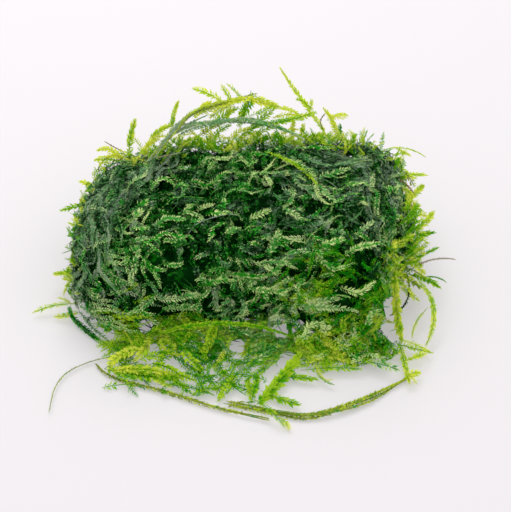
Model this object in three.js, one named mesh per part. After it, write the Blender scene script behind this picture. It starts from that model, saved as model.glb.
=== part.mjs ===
// A loose clump of java moss that lies on its own flat underside.
// Millimetres, with +Z up, +X to the right and -Y to the front; the origin is the middle of the underside.
import * as THREE from 'three';

// The mat: how far its edge lies from the middle, at even angles round from +X, and how thick it is.
const MAT_REACH = [
  44, 45.5, 51, 41, 35.5, 33.5, 35.5, 40.5, 45.5, 44,
  43, 44.5, 41.5, 32.5, 29.5, 29.5, 32.5, 40.5, 48.5, 38.5,
];
const MAT_THICKNESS = 25;

// Its section from the middle of the top out and down to the underside, as shares of reach and thickness.
// The sides and the back stand up like a wall. The front comes down to a thin toe of tangled shoots.
const WALL_SECTION = [
  [0, 1], [0.45, 1], [0.78, 0.98], [0.92, 0.88], [0.985, 0.68], [1, 0.42], [0.99, 0.18], [0.95, 0],
];
const TOE_SECTION = [
  [0, 1], [0.33, 0.97], [0.5, 0.85], [0.62, 0.6], [0.73, 0.36], [0.86, 0.24], [1, 0.13], [0.98, 0],
];

// Matted strands lie over each other in relief, with pits between them. Each kind has a heading in degrees
// from +X, where the mat's surface is unrolled flat, and its pitch, height and how far it wanders sideways.
const STRANDS = [
  { heading: 10, pitch: 7.5, height: 1.3, wander: 3 },
  { heading: 65, pitch: 10, height: 1.2, wander: 4 },
  { heading: -50, pitch: 12, height: 1.3, wander: 5 },
];
const STRAND_FADE = 0.35;
const SWELL = { height: 1.3, length: 110, start: 5 };

// Hollows in the mat, as x and y of the middle, half width and depth: in its top, and in a row where the
// front gets thin. A hollow's edge is soft, with the form of a bell curve.
const HOLLOWS = [
  [0, 1, 8, 2.5], [-16, -11, 7, 2.5], [-27, -20, 5, 2], [28, -19, 8, 3], [-9, 11, 6, 2], [19, 0, 6, 1.5],
  [-21, -20.5, 6, 3.5], [-13, -20.5, 6, 3.5], [-4.5, -21.5, 6, 4], [4, -22, 6, 3.5],
];

// Facets of the mat: steps across, steps front to back, and rings down the side.
const MAT_ACROSS = 44;
const MAT_DEEP = 30;
const MAT_RINGS = 8;
const MAT_TOP_SHARE = 0.45;

// Leafy shoots: leaf teeth stand out of a flat frond, and bare stems are round.
const FROND_WIDTH = 2.4;
const FROND_THICKNESS = 0.8;
const TOOTH_PITCH = 2.6;
const NOTCH_SHARE = 0.42;
const STEM_WIDTH = 0.9;
const STEM_STEP = 3;
const END_SHARE = 0.25;

// Pieces that touch keep a gap. A shoot grows out of the mat, where its root is cut off at the mat's surface,
// or starts a little way from the stem that it grows from.
const CLEARANCE = { foot: 0.45, side: 1.3 };
const FLOOR_CLEARANCE = { frond: 0.9, stem: 0.6 };
const STEM_GAP = 0.9;
const ROOT_DEPTH = 9;
const FROND_FACES = new THREE.Vector3(0, -0.3, 1).normalize();

const COLOURS = {
  dark: 0x1d3f22,
  green: 0x4c7a2c,
  lime: 0x8cb53a,
  olive: 0x6f7d2b,
  brown: 0x7d5a3a,
};

// A shoot is an arc. Each line gives its foot, then in degrees the heading of its middle, anticlockwise
// from +X, and its rise above level, then its length in mm, and how far it turns left and rises on the way.
const SHOOTS = {
  lime: {
    back_tall_shoot: [[22, 34.5, 24], 130, 30, 22.5, 30, 40],
    back_tall_twig: [[17.5, 39, 29.5], -170, 35, 4, 40, -30],
    back_cross_shoot: [[7, 31.5, 29], 5, 12, 12, 10, 20],
    spray_left_tip: [[-5.5, 38, 31], 165, 20, 9, 0, -40],
    spray_middle_tip: [[-3, 38, 31.5], 140, 45, 5, 10, 0],
    spray_right_tip: [[0, 37.5, 32.5], 160, 40, 6, 20, 0],
    spray_branch: [[4, 37.5, 33], -5, -25, 7, -10, 0],
    spray_branch_end: [[10.5, 37, 30], 5, -30, 6, -30, -20],
    spray_hanging_left: [[-3.5, 38, 31], -165, -35, 7, -10, 0],
    spray_hanging_middle: [[2, 38.5, 32], -140, -55, 6, 0, 60],
    spray_short: [[3.5, 34, 30], 20, 20, 5.5, 0, 30],
    rim_upright_left: [[-30.5, 30, 22], 45, 70, 8.5, -50, 0],
    rim_upright_middle: [[-19, 34.5, 26], 65, 50, 7, -40, 0],
    rim_yellow_shoot: [[26, 34.5, 23], 150, 58, 7.5, 60, 20],
    rim_yellow_twig: [[24.5, 37, 27], -15, 15, 4.5, 0, -60],
    left_back_tip: [[-33.5, 28.5, 18.5], 172, -5, 7, 30, -20],
    left_yellow_tuft: [[-39, 24, 12], 145, 0, 7, 10, -20],
    left_edge_tip: [[-44, -3, 5.5], 165, -15, 5.5, 10, 0],
    left_front_frond: [[-44, -12, 3], -170, -10, 10, 40, 0],
    right_back_shoot: [[39, 31, 20.5], -3, -12, 11.5, -50, -30],
    right_upper_tip: [[43.5, 26, 15.5], 10, -8, 7, -20, 0],
    right_upper_hook: [[45.5, 21.5, 11.5], 50, 8, 6, 10, 0],
    right_middle_frond: [[45.5, 6.5, 13], 45, 15, 7, 40, 10],
    right_loop_shoot: [[45.5, -9.5, 8], -90, -20, 19, -70, -20],
    right_hanging_frond: [[38.5, -11.5, 12], -84, -37, 18, 0, 60],
    right_trailing_frond: [[39.5, -26.5, 1.6], -85, 0, 13, 0, 0],
    right_trailing_branch: [[40, -26, 1.6], -20, 0, 8, 0, 0],
    right_thin_shoot: [[46, -15.5, 3], -112, -5, 9.5, 30, -10],
  },
  green: {
    left_middle_tip: [[-41.5, 19, 11], -165, -5, 7.5, 10, 0],
    right_lower_frond: [[45, 4, 10.5], 25, 10, 6, -20, -30],
    right_low_frond: [[45, -0.5, 8.5], 30, 5, 7.5, 0, 0],
    right_olive_tip: [[44, -4.6, 6.2], -20, -15, 8, 0, -30],
    front_main_fern: [[14.5, -30.5, 3.5], -125, -8, 18.5, -10, 10],
    front_main_right: [[11, -36.5, 1.6], -10, 0, 7.5, 10, 0],
    front_main_low: [[6.8, -42.6, 1.2], -25, 0, 8, 20, 0],
    front_main_tip: [[3.5, -45, 1.6], -50, -2, 11, 0, -45],
    front_main_left: [[3, -42.5, 1.4], 80, 0, 6.5, 0, 0],
    front_lime_fern: [[17, -34.8, 2], 0, 0, 12.5, -20, 0],
    front_hook_fern: [[18.5, -34.5, 1.4], -50, 0, 7, 70, 0],
    front_broad_fern: [[-31, -35, 1.6], -8, 0, 17, 20, 0],
    front_rising_fern: [[-31.5, -32.5, 1.8], 45, 12, 11, 20, 0],
    front_dark_fern: [[-6.5, -21.5, 5], -105, -10, 12, 20, 10],
    front_corner_fern: [[-17, -30, 2.2], -40, -4, 12, -10, 0],
    front_return_fern: [[2.5, -34, 2.5], -125, -5, 11, 0, 10],
    front_low_fern: [[-17.5, -39.5, 1.4], -18, 0, 12, -30, 0],
    front_arch_stem: [[-20.5, -25, 4.5], -2, 0, 35, 6, -62],
    top_bright_shoot: [[8, 20.5, 26.5], -50, 0, 18, -40, 0],
  },
  dark: {
    right_dark_stem: [[42.5, -9, 7.5], -125, -28, 11, -100, 20],
  },
  brown: {
    left_brown_tip: [[-32, 28.5, 21.5], 168, 28, 6, 0, 10],
    right_brown_twig: [[44.5, -3, 7.5], 10, 5, 11.5, -40, -25],
    top_bare_twig: [[-22.5, 19, 26.5], 20, 0, 7, 10, 0],
  },
};

// These lie on the mat or grow from a stem, and the other shoots grow out of the mat.
const UNROOTED = [
  'back_tall_twig', 'back_cross_shoot', 'spray_left_tip', 'spray_middle_tip', 'spray_right_tip',
  'spray_branch', 'spray_branch_end', 'spray_hanging_left', 'spray_hanging_middle', 'spray_short',
  'rim_yellow_twig', 'right_hanging_frond', 'right_trailing_frond', 'right_trailing_branch',
  'right_thin_shoot', 'front_main_right', 'front_main_low', 'front_main_tip', 'front_main_left',
  'front_lime_fern', 'front_broad_fern', 'front_rising_fern', 'front_low_fern', 'front_arch_stem',
  'front_dark_fern', 'front_hook_fern', 'top_bright_shoot', 'top_bare_twig',
];

// Bare stems, as the points that they pass through.
const STEMS = {
  olive: {
    back_arch_upper: [
      [-24, 19, 26.5], [-20.5, 25, 27.5], [-17, 30.5, 28.5], [-13.5, 34.5, 30], [-7.5, 37, 31], [3.5, 38, 33],
    ],
    front_loop_left: [
      [-36, -31.5, 0.8], [-31.5, -36, 0.8], [-18.5, -41, 0.8], [-6, -46.5, 0.8], [7, -50.5, 0.8],
    ],
    front_loop_right: [
      [-4, -45, 0.8], [10.5, -49, 0.8], [19, -48.8, 0.8], [30.5, -43.5, 0.8], [41.5, -35.5, 0.8],
    ],
    left_whisker: [
      [-27.5, -29.5, 1.2], [-35, -30, 0.8], [-42, -34, 0.8], [-45, -40, 0.8], [-45.5, -48.5, 0.8],
    ],
  },
  dark: {
    back_arch_lower: [
      [-18, 30.5, 26], [-12.5, 32.5, 27.5], [-0.5, 33.5, 28.5], [6.5, 31.5, 28.5], [15.5, 28, 26.5],
    ],
    left_runner_outer: [[-43.5, -14, 4], [-42, -17, 1.5], [-35, -23.5, 0.8], [-28.5, -27.5, 0.8]],
  },
};

// A smooth curve through the values a, b, c and d, at the share t of the way from b to c.
function smooth(a, b, c, d, t) {
  return b + 0.5 * t * (c - a + t * (2 * a - 5 * b + 4 * c - d + t * (3 * (b - c) + d - a)));
}

function reachAt(angle) {
  const count = MAT_REACH.length;
  const place = THREE.MathUtils.euclideanModulo(angle / (2 * Math.PI), 1) * count;
  const index = Math.floor(place);
  const [a, b, c, d] = [-1, 0, 1, 2].map((step) => MAT_REACH[(index + step + count) % count]);
  return smooth(a, b, c, d, place - index);
}

function sectionAt(section, share) {
  const last = section.length - 1;
  const index = Math.min(Math.floor(share * last), last - 1);
  const t = share * last - index;
  const rows = [-1, 0, 1, 2].map((step) => section[THREE.MathUtils.clamp(index + step, 0, last)]);
  return [0, 1].map((axis) => smooth(...rows.map((row) => row[axis]), t));
}

// How far the topmost strand stands out of the mat at a place on the unrolled surface, given as its angle and
// its distance from the middle. Each kind of strand is a row of ridges that sway and fade in and out.
function relief(angle, distance) {
  const heights = STRANDS.map(({ heading, pitch, height, wander }) => {
    const turn = angle - THREE.MathUtils.degToRad(heading);
    const along = distance * Math.cos(turn);
    const across = distance * Math.sin(turn) + wander * Math.sin(along / pitch);
    const ridge = 1 - 2 * Math.abs(Math.sin(Math.PI * across / pitch));
    return height * ridge - STRAND_FADE * (1 + Math.sin(along * 2 / pitch));
  });
  return Math.max(...heights);
}

// How far the hollows lower the mat at a place.
function hollowAt(x, y) {
  return HOLLOWS.reduce((sum, [middleX, middleY, halfWidth, depth]) => {
    const square = ((x - middleX) ** 2 + (y - middleY) ** 2) / halfWidth ** 2;
    return sum + depth * Math.exp(-2 * square);
  }, 0);
}

// A point of the mat's surface: share runs from 0 in the middle of the top to 1 at the edge of the underside.
function matPoint(angle, share) {
  const front = THREE.MathUtils.smoothstep(-Math.sin(angle), 0.3, 0.85);
  const [wallOut, wallUp] = sectionAt(WALL_SECTION, share);
  const [toeOut, toeUp] = sectionAt(TOE_SECTION, share);
  const out = THREE.MathUtils.lerp(wallOut, toeOut, front);
  const up = THREE.MathUtils.lerp(wallUp, toeUp, front);
  const radius = reachAt(angle) * out;
  const point = new THREE.Vector3(radius * Math.cos(angle), radius * Math.sin(angle), MAT_THICKNESS * up);
  const level = out ** 4;
  const away = new THREE.Vector3(Math.cos(angle) * level, Math.sin(angle) * level, up - 0.3).normalize();
  const fade = THREE.MathUtils.smoothstep(up, 0, 0.15);
  const swell = SWELL.height * Math.sin((point.x - SWELL.start) * 2 * Math.PI / SWELL.length);
  const sunk = hollowAt(point.x, point.y) * fade;
  point.addScaledVector(away, relief(angle, share * (reachAt(angle) + MAT_THICKNESS)) * fade);
  point.z += swell * up ** 2 - sunk;
  return point;
}

// The mat's top is a grid of square rings; the side continues its edge down to the flat underside.
function matGeometry() {
  const columns = MAT_ACROSS + 1;
  const points = [];
  const triangles = [];
  for (let row = 0; row <= MAT_DEEP; row += 1) {
    for (let column = 0; column <= MAT_ACROSS; column += 1) {
      const x = 2 * column / MAT_ACROSS - 1;
      const y = 2 * row / MAT_DEEP - 1;
      const ring = Math.max(Math.abs(x), Math.abs(y));
      points.push(matPoint(Math.atan2(y * MAT_DEEP, x * MAT_ACROSS), ring * MAT_TOP_SHARE));
      if (row < MAT_DEEP && column < MAT_ACROSS) {
        const corner = row * columns + column;
        const opposite = corner + columns + 1;
        triangles.push(corner, corner + 1, opposite, corner, opposite, corner + columns);
      }
    }
  }
  const edge = [];
  for (let column = 0; column < MAT_ACROSS; column += 1) edge.push([column, 0]);
  for (let row = 0; row < MAT_DEEP; row += 1) edge.push([MAT_ACROSS, row]);
  for (let column = MAT_ACROSS; column > 0; column -= 1) edge.push([column, MAT_DEEP]);
  for (let row = MAT_DEEP; row > 0; row -= 1) edge.push([0, row]);
  const angles = edge.map(([column, row]) => Math.atan2(2 * row - MAT_DEEP, 2 * column - MAT_ACROSS));
  let upper = edge.map(([column, row]) => row * columns + column);
  for (let ring = 1; ring <= MAT_RINGS; ring += 1) {
    const share = MAT_TOP_SHARE + (1 - MAT_TOP_SHARE) * ring / MAT_RINGS;
    const lower = angles.map((angle) => points.push(matPoint(angle, share)) - 1);
    upper.forEach((corner, index) => {
      const next = (index + 1) % upper.length;
      triangles.push(corner, lower[index], lower[next], corner, lower[next], upper[next]);
    });
    upper = lower;
  }
  const middle = points.push(new THREE.Vector3(-1.5, -1, 0)) - 1;
  upper.forEach((corner, index) => triangles.push(corner, middle, upper[(index + 1) % upper.length]));
  const geometry = new THREE.BufferGeometry().setFromPoints(points);
  geometry.setIndex(triangles);
  geometry.computeVertexNormals();
  return geometry;
}

const mat = matGeometry();

// How high a point is above the mat's nearest corner, and which way is out of the mat there.
function aboveMat(point) {
  const place = mat.attributes.position;
  const normals = mat.attributes.normal;
  const corner = new THREE.Vector3();
  let nearest = 0;
  let least = Infinity;
  for (let index = 0; index < place.count; index += 1) {
    const distance = corner.fromBufferAttribute(place, index).distanceToSquared(point);
    if (distance < least) [nearest, least] = [index, distance];
  }
  const normal = new THREE.Vector3().fromBufferAttribute(normals, nearest);
  return { normal, height: point.clone().sub(corner.fromBufferAttribute(place, nearest)).dot(normal) };
}

// Lifts a point that is in or close to the mat or the surface below, so that it lies on it.
function lift(point, floorClearance) {
  const { normal, height } = aboveMat(point);
  if (height < CLEARANCE.side) point.addScaledVector(normal, CLEARANCE.side - height);
  point.z = Math.max(point.z, floorClearance);
  return point;
}

// The direction at a share of an arc's length.
function wayAt([, heading, rise, , turn, droop], share) {
  const yaw = THREE.MathUtils.degToRad(heading + turn * (share - 0.5));
  const pitch = THREE.MathUtils.degToRad(rise + droop * (share - 0.5));
  return new THREE.Vector3(Math.cos(yaw) * Math.cos(pitch), Math.sin(yaw) * Math.cos(pitch), Math.sin(pitch));
}

// The points of a shoot, half a tooth apart. A rooted one starts in the mat and is cut off at its surface.
function arcPath(arc, rooted) {
  const [foot, , , length] = arc;
  const steps = Math.max(4, Math.round(length / (TOOTH_PITCH / 2)));
  const point = new THREE.Vector3(...foot);
  const path = [point.clone()];
  for (let step = 0; step < steps; step += 1) {
    point.addScaledVector(wayAt(arc, (step + 0.5) / steps), length / steps);
    path.push(point.clone());
  }
  if (!rooted) {
    path[0].addScaledVector(wayAt(arc, 0), STEM_GAP);
    return path.map((corner) => lift(corner, FLOOR_CLEARANCE.frond));
  }
  for (let depth = TOOTH_PITCH / 2; depth < ROOT_DEPTH; depth += TOOTH_PITCH / 2) {
    path.unshift(new THREE.Vector3(...foot).addScaledVector(wayAt(arc, 0), -depth));
  }
  const heights = path.slice(0, -2).map((corner) => aboveMat(corner).height);
  const inside = heights.findLastIndex((height) => height < CLEARANCE.foot);
  if (inside < 0 || inside === heights.length - 1) throw new Error(`a shoot at ${foot} has no root or no tip`);
  const share = (CLEARANCE.foot - heights[inside]) / (heights[inside + 1] - heights[inside]);
  const start = path[inside].clone().lerp(path[inside + 1], share);
  const rest = path.slice(inside + (share > 0.5 ? 2 : 1));
  return [start, ...rest.map((corner) => lift(corner, FLOOR_CLEARANCE.frond))];
}

function stemPath(points) {
  const curve = new THREE.CatmullRomCurve3(points.map((point) => new THREE.Vector3(...point)));
  const path = curve.getSpacedPoints(Math.round(curve.getLength() / STEM_STEP));
  return path.map((point) => lift(point, FLOOR_CLEARANCE.stem));
}

// A closed strip along a path: a cylinder with four sides, one ring at each point, bent along it.
function stripGeometry(path, leafy) {
  const last = path.length - 1;
  const geometry = new THREE.CylinderGeometry(1, 1, last, 4, last);
  const place = geometry.attributes.position;
  const corner = new THREE.Vector3();
  for (let index = 0; index < place.count; index += 1) {
    corner.fromBufferAttribute(place, index);
    const ring = Math.round(corner.y + last / 2);
    const way = path[Math.min(ring + 1, last)].clone().sub(path[Math.max(ring - 1, 0)]).normalize();
    const side = way.clone().cross(FROND_FACES).normalize();
    const face = side.clone().cross(way);
    const isNotch = (ring + (corner.x > 0 ? 1 : 0)) % 2 === 0;
    const isEnd = ring === 0 || ring === last;
    const width = leafy ? FROND_WIDTH * (isNotch ? NOTCH_SHARE : 1) : STEM_WIDTH;
    const thickness = leafy ? FROND_THICKNESS : STEM_WIDTH;
    const size = isEnd ? END_SHARE : 1;
    const across = side.multiplyScalar(corner.x * size * (isEnd ? thickness : width) / 2);
    const up = face.multiplyScalar(corner.z * size * thickness / 2);
    corner.copy(path[ring]).add(across).add(up);
    place.setXYZ(index, corner.x, corner.y, corner.z);
  }
  geometry.computeVertexNormals();
  return geometry;
}

const clump = new THREE.Group();

function addPiece(name, colour, geometry) {
  const material = new THREE.MeshStandardMaterial({ color: COLOURS[colour], roughness: 0.45, metalness: 0 });
  const piece = new THREE.Mesh(geometry, material);
  piece.name = name;
  clump.add(piece);
}

addPiece('moss_mat', 'dark', mat);
for (const [colour, shoots] of Object.entries(SHOOTS)) {
  for (const [name, arc] of Object.entries(shoots)) {
    addPiece(name, colour, stripGeometry(arcPath(arc, !UNROOTED.includes(name)), true));
  }
}
for (const [colour, stems] of Object.entries(STEMS)) {
  for (const [name, points] of Object.entries(stems)) {
    addPiece(name, colour, stripGeometry(stemPath(points), false));
  }
}

export default clump;
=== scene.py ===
"""A loose clump of java moss: leafy shoots matted over a dark dense inside, with fresh ones at its edges."""
import math

import bpy
import numpy as np
from bpy.props import FloatProperty, FloatVectorProperty, IntProperty, PointerProperty
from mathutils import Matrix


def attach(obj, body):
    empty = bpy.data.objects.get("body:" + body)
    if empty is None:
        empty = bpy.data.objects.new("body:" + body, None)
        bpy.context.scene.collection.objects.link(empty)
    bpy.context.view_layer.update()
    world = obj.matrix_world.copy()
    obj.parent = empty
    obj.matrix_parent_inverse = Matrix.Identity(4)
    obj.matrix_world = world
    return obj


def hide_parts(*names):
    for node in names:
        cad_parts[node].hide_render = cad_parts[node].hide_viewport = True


bl_info = {
    "name": "Java moss clump",
    "version": (1, 0, 0),
    "blender": (4, 5, 0),
    "location": "3D View > Sidebar > Moss",
    "description": "Grows a matted clump of java moss over its packed solids",
    "category": "Add Mesh",
}

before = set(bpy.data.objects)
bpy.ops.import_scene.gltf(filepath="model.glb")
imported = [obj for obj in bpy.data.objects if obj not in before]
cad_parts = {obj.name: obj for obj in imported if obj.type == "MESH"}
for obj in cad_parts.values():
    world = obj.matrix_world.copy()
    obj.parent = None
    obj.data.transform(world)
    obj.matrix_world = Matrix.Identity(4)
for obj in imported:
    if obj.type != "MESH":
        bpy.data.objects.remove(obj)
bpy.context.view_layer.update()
MM = 0.001

# The clump's form, in millimetres, as its solid has it: how far its edge lies from the middle, anticlockwise
# from the right, its thickness, and its section from the middle of the top to the foot, as shares of both.
# The toe's section is the front's, and takes over where minus the sine of the angle goes through TOE_SPREAD.
MAT_REACH = np.array([
    44, 45.5, 51, 41, 35.5, 33.5, 35.5, 40.5, 45.5, 44,
    43, 44.5, 41.5, 32.5, 29.5, 29.5, 32.5, 40.5, 48.5, 38.5,
])
MAT_THICKNESS = 25
WALL_SECTION = np.array([
    (0, 1), (0.45, 1), (0.78, 0.98), (0.92, 0.88), (0.985, 0.68), (1, 0.42), (0.99, 0.18), (0.95, 0),
])
TOE_SECTION = np.array([
    (0, 1), (0.33, 0.97), (0.5, 0.85), (0.62, 0.6), (0.73, 0.36), (0.86, 0.24), (1, 0.13), (0.98, 0),
])
TOE_SPREAD = (0.3, 0.85)
# Rows of strands in relief: heading in degrees on the unrolled surface, then pitch, height and sway.
STRANDS = ((10, 7.5, 1.3, 3), (65, 10, 1.2, 4), (-50, 12, 1.3, 5))
STRAND_FADE = 0.35
# A long swell of the top from left to right.
SWELL_HEIGHT, SWELL_LENGTH, SWELL_START = 1.3, 110, 5
# Hollows in the surface: x and y of the middle, half width and depth.
HOLLOWS = (
    (0, 1, 8, 2.5), (-16, -11, 7, 2.5), (-27, -20, 5, 2), (28, -19, 8, 3), (-9, 11, 6, 2), (19, 0, 6, 1.5),
    (-21, -20.5, 6, 3.5), (-13, -20.5, 6, 3.5), (-4.5, -21.5, 6, 4), (4, -22, 6, 3.5),
)

# Which way the strands lie on the unrolled surface: place in mm, and heading in degrees.
FLOW = (
    (-39, -2, -95), (-39, -16, -85), (-38, -23, -55), (-36, 5, 60), (-29, 17, 50), (-22, 26, 30),
    (-11, 29, 12), (2, 29, 0), (15, 27, -5), (28, 26, -15), (40, 28, -60), (41, 14, -80),
    (40, -2, -70), (27, 6, 20), (20, 12, -40), (36, 18, -50), (15, 10, -45), (0, 2, 15),
    (-10, 12, 20), (-20, -10, 25), (-10, -10, 20), (-27, -17, 35), (2, -12, 0), (15, -5, -10),
    (24, -7, 35), (21, -17, 20), (34, -10, 40), (-13, -30, 12), (-28, -29, -15), (2, -38, 5),
    (16, -24, 0), (18, -35, 5), (30, -35, -10), (43, -31, -30),
)
# How light the moss is and how much painted grey sheen it has: place in mm, then both from 0 to 1.
TINTS = (
    (-39, -2, 0.35, 0.75), (-39, -18, 0.4, 0.7), (-36, 5, 0.35, 0.8), (-29, 17, 0.35, 0.75),
    (-22, 26, 0.4, 0.5), (-11, 29, 0.3, 0.3), (2, 27, 0.45, 0.1), (15, 27, 0.35, 0.6),
    (28, 26, 0.3, 0.7), (40, 28, 0.3, 0.7), (41, 14, 0.35, 0.7), (40, -2, 0.4, 0.5),
    (27, 6, 0.3, 0.7), (15, 10, 0.35, 0.6), (0, 2, 0.22, 0.1), (-10, 12, 0.25, 0.3),
    (-22, -6, 0.45, 0.3), (-8, -12, 0.45, 0.3), (-27, -17, 0.55, 0.3), (2, -12, 0.3, 0.2),
    (15, -5, 0.3, 0.4), (24, -7, 0.3, 0.4), (21, -17, 0.45, 0.3), (34, -10, 0.35, 0.5),
    (-13, -30, 0.65, 0.25), (-28, -29, 0.7, 0.2), (2, -38, 0.7, 0.2), (16, -24, 0.6, 0.3),
    (18, -35, 0.7, 0.1), (30, -35, 0.7, 0.05), (43, -31, 0.55, 0.05), (44, -8, 0.6, 0.1),
    # The rows at the hollows, (28, -19), (-16, -11) and (-27, -20), are darkened as painted shade.
    (36, -24, 0.5, 0), (26, -30, 0.6, 0), (28, -19, 0.12, 0), (-16, -11, 0.15, 0.1), (-27, -20, 0.15, 0.1),
)
# Dark pits between the shoots, where fewer shoots grow and those that do are darkened as painted shade: place
# on the unrolled surface and width, in mm, and the share they darken by.
PITS = (
    (-19.5, -13, 3), (-20, -19, 4), (-22.5, 8, 3.5), (-14, -15, 2.5), (28.5, -18.5, 5), (-18.5, 16, 3),
    (34, -17.5, 4), (29, -26, 4), (32, -26, 4), (-10, -14, 2.5), (25.5, -24, 4), (-23, -2, 3.5),
    (30.5, -22, 5), (4, 10, 3), (4, 2, 3), (7.5, 3.5, 3), (-3.5, -9.5, 3.5), (-9.5, -9, 3),
    (-14.5, 23.5, 3), (22, -4, 3), (18.5, 0, 3), (-19.5, 25, 2.5), (-27, -22, 2.5), (-10, -18, 2.5),
    (15, -18, 3),
)
PIT_SHARE = 0.78
# Gaps in the thin front, where the surface below shows: place on it and half width in mm, and their lean.
GAPS = (
    (-24, -17, 1.9), (-1, -24.5, 1.9), (10, -19.5, 1.7), (16, -14, 1.5),
    (-35.5, -19.5, 1.3), (-32.5, -20.5, 1.3), (-22, -26.5, 2), (-17, -33.5, 1.9), (-28.5, -38.5, 1.5),
    (-6.5, -35, 1.2), (11.5, -29.5, 2.2), (10, -36, 4), (-2, -44, 3.2),
    (38, -10, 3.2), (37, -16.5, 2.6), (38, -21.5, 1.6),
)
GAP_LEAN = np.array([0, -0.74, 0.67])

# A leaf is a thin closed solid: its corners along, across and up, as shares of its length and width, and its
# triangles. Its corners get lighter along it by LEAF_LIGHT, from LEAF_MIDDLE on.
LEAF_LIGHT, LEAF_MIDDLE = 0.35, 0.4
SLIVER = (
    np.array([(0, 0, 0), (1, 0, 0), (0.42, 0.5, 0.3), (0.42, -0.5, 0.3)]),
    np.array([(0, 2, 1), (0, 1, 3), (0, 3, 2), (1, 2, 3)]),
)
LENS = (
    np.array([
        (0, 0, 0), (1, 0, -0.05), (0.42, 0.5, 0.22), (0.42, -0.5, 0.22), (0.4, 0, 0.1), (0.4, 0, -0.1),
    ]),
    np.array([(0, 4, 2), (0, 3, 4), (4, 1, 2), (4, 3, 1), (0, 2, 5), (5, 2, 1), (0, 5, 3), (5, 1, 3)]),
)
BLADE = (
    np.array([
        (0, 0, 0), (0.26, 0.46, 0.3), (0.26, 0, 0.16), (0.26, -0.46, 0.3), (0.26, 0, 0.02),
        (0.62, 0.36, 0.3), (0.62, 0, 0.2), (0.62, -0.36, 0.3), (0.62, 0, 0.08), (1, 0, -0.06),
    ]),
    np.array([
        (0, 2, 1), (0, 3, 2), (0, 4, 3), (0, 1, 4),
        (1, 2, 6), (1, 6, 5), (2, 3, 7), (2, 7, 6), (3, 4, 8), (3, 8, 7), (4, 1, 5), (4, 5, 8),
        (9, 5, 6), (9, 6, 7), (9, 7, 8), (9, 8, 5),
    ]),
)
# How a shoot is leafed: mm between leaves on a side, leaf length and width, spread in degrees, the leaf's
# form, the stem's width, and how much darker than the leaves the stem is.
FERN = dict(pitch=0.72, leaf=1.75, width=0.95, spread=50, form=BLADE, stem=0.36, bark=0.45)
PLUME = dict(pitch=0.62, leaf=1.7, width=0.56, spread=50, form=LENS, stem=0.34, bark=0.3)
TIP = dict(pitch=0.5, leaf=1.2, width=0.5, spread=46, form=LENS, stem=0.34, bark=0.15)
THREAD = dict(pitch=0.8, leaf=0.7, width=0.3, spread=26, form=LENS, stem=0.4, bark=0.15)
ROPE = dict(pitch=0.55, leaf=0.8, width=0.36, spread=36, form=LENS, stem=0.3, bark=0.15)
MATTED = dict(pitch=0.5, leaf=1, width=0.32, spread=54, form=SLIVER, stem=0.26, bark=0.15)
DEEP = dict(pitch=0.85, leaf=1.6, width=0.66, spread=44, form=SLIVER, stem=0.3, bark=0.15)
HAIR = dict(pitch=0.5, leaf=0.8, width=0.24, spread=52, form=SLIVER, stem=0.26, bark=0.15)
STYLES = {"fern": FERN, "plume": PLUME, "tip": TIP, "thread": THREAD, "rope": ROPE}
# How much lighter a shoot gets towards its tip.
FRESH_TIP = 0.25

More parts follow.
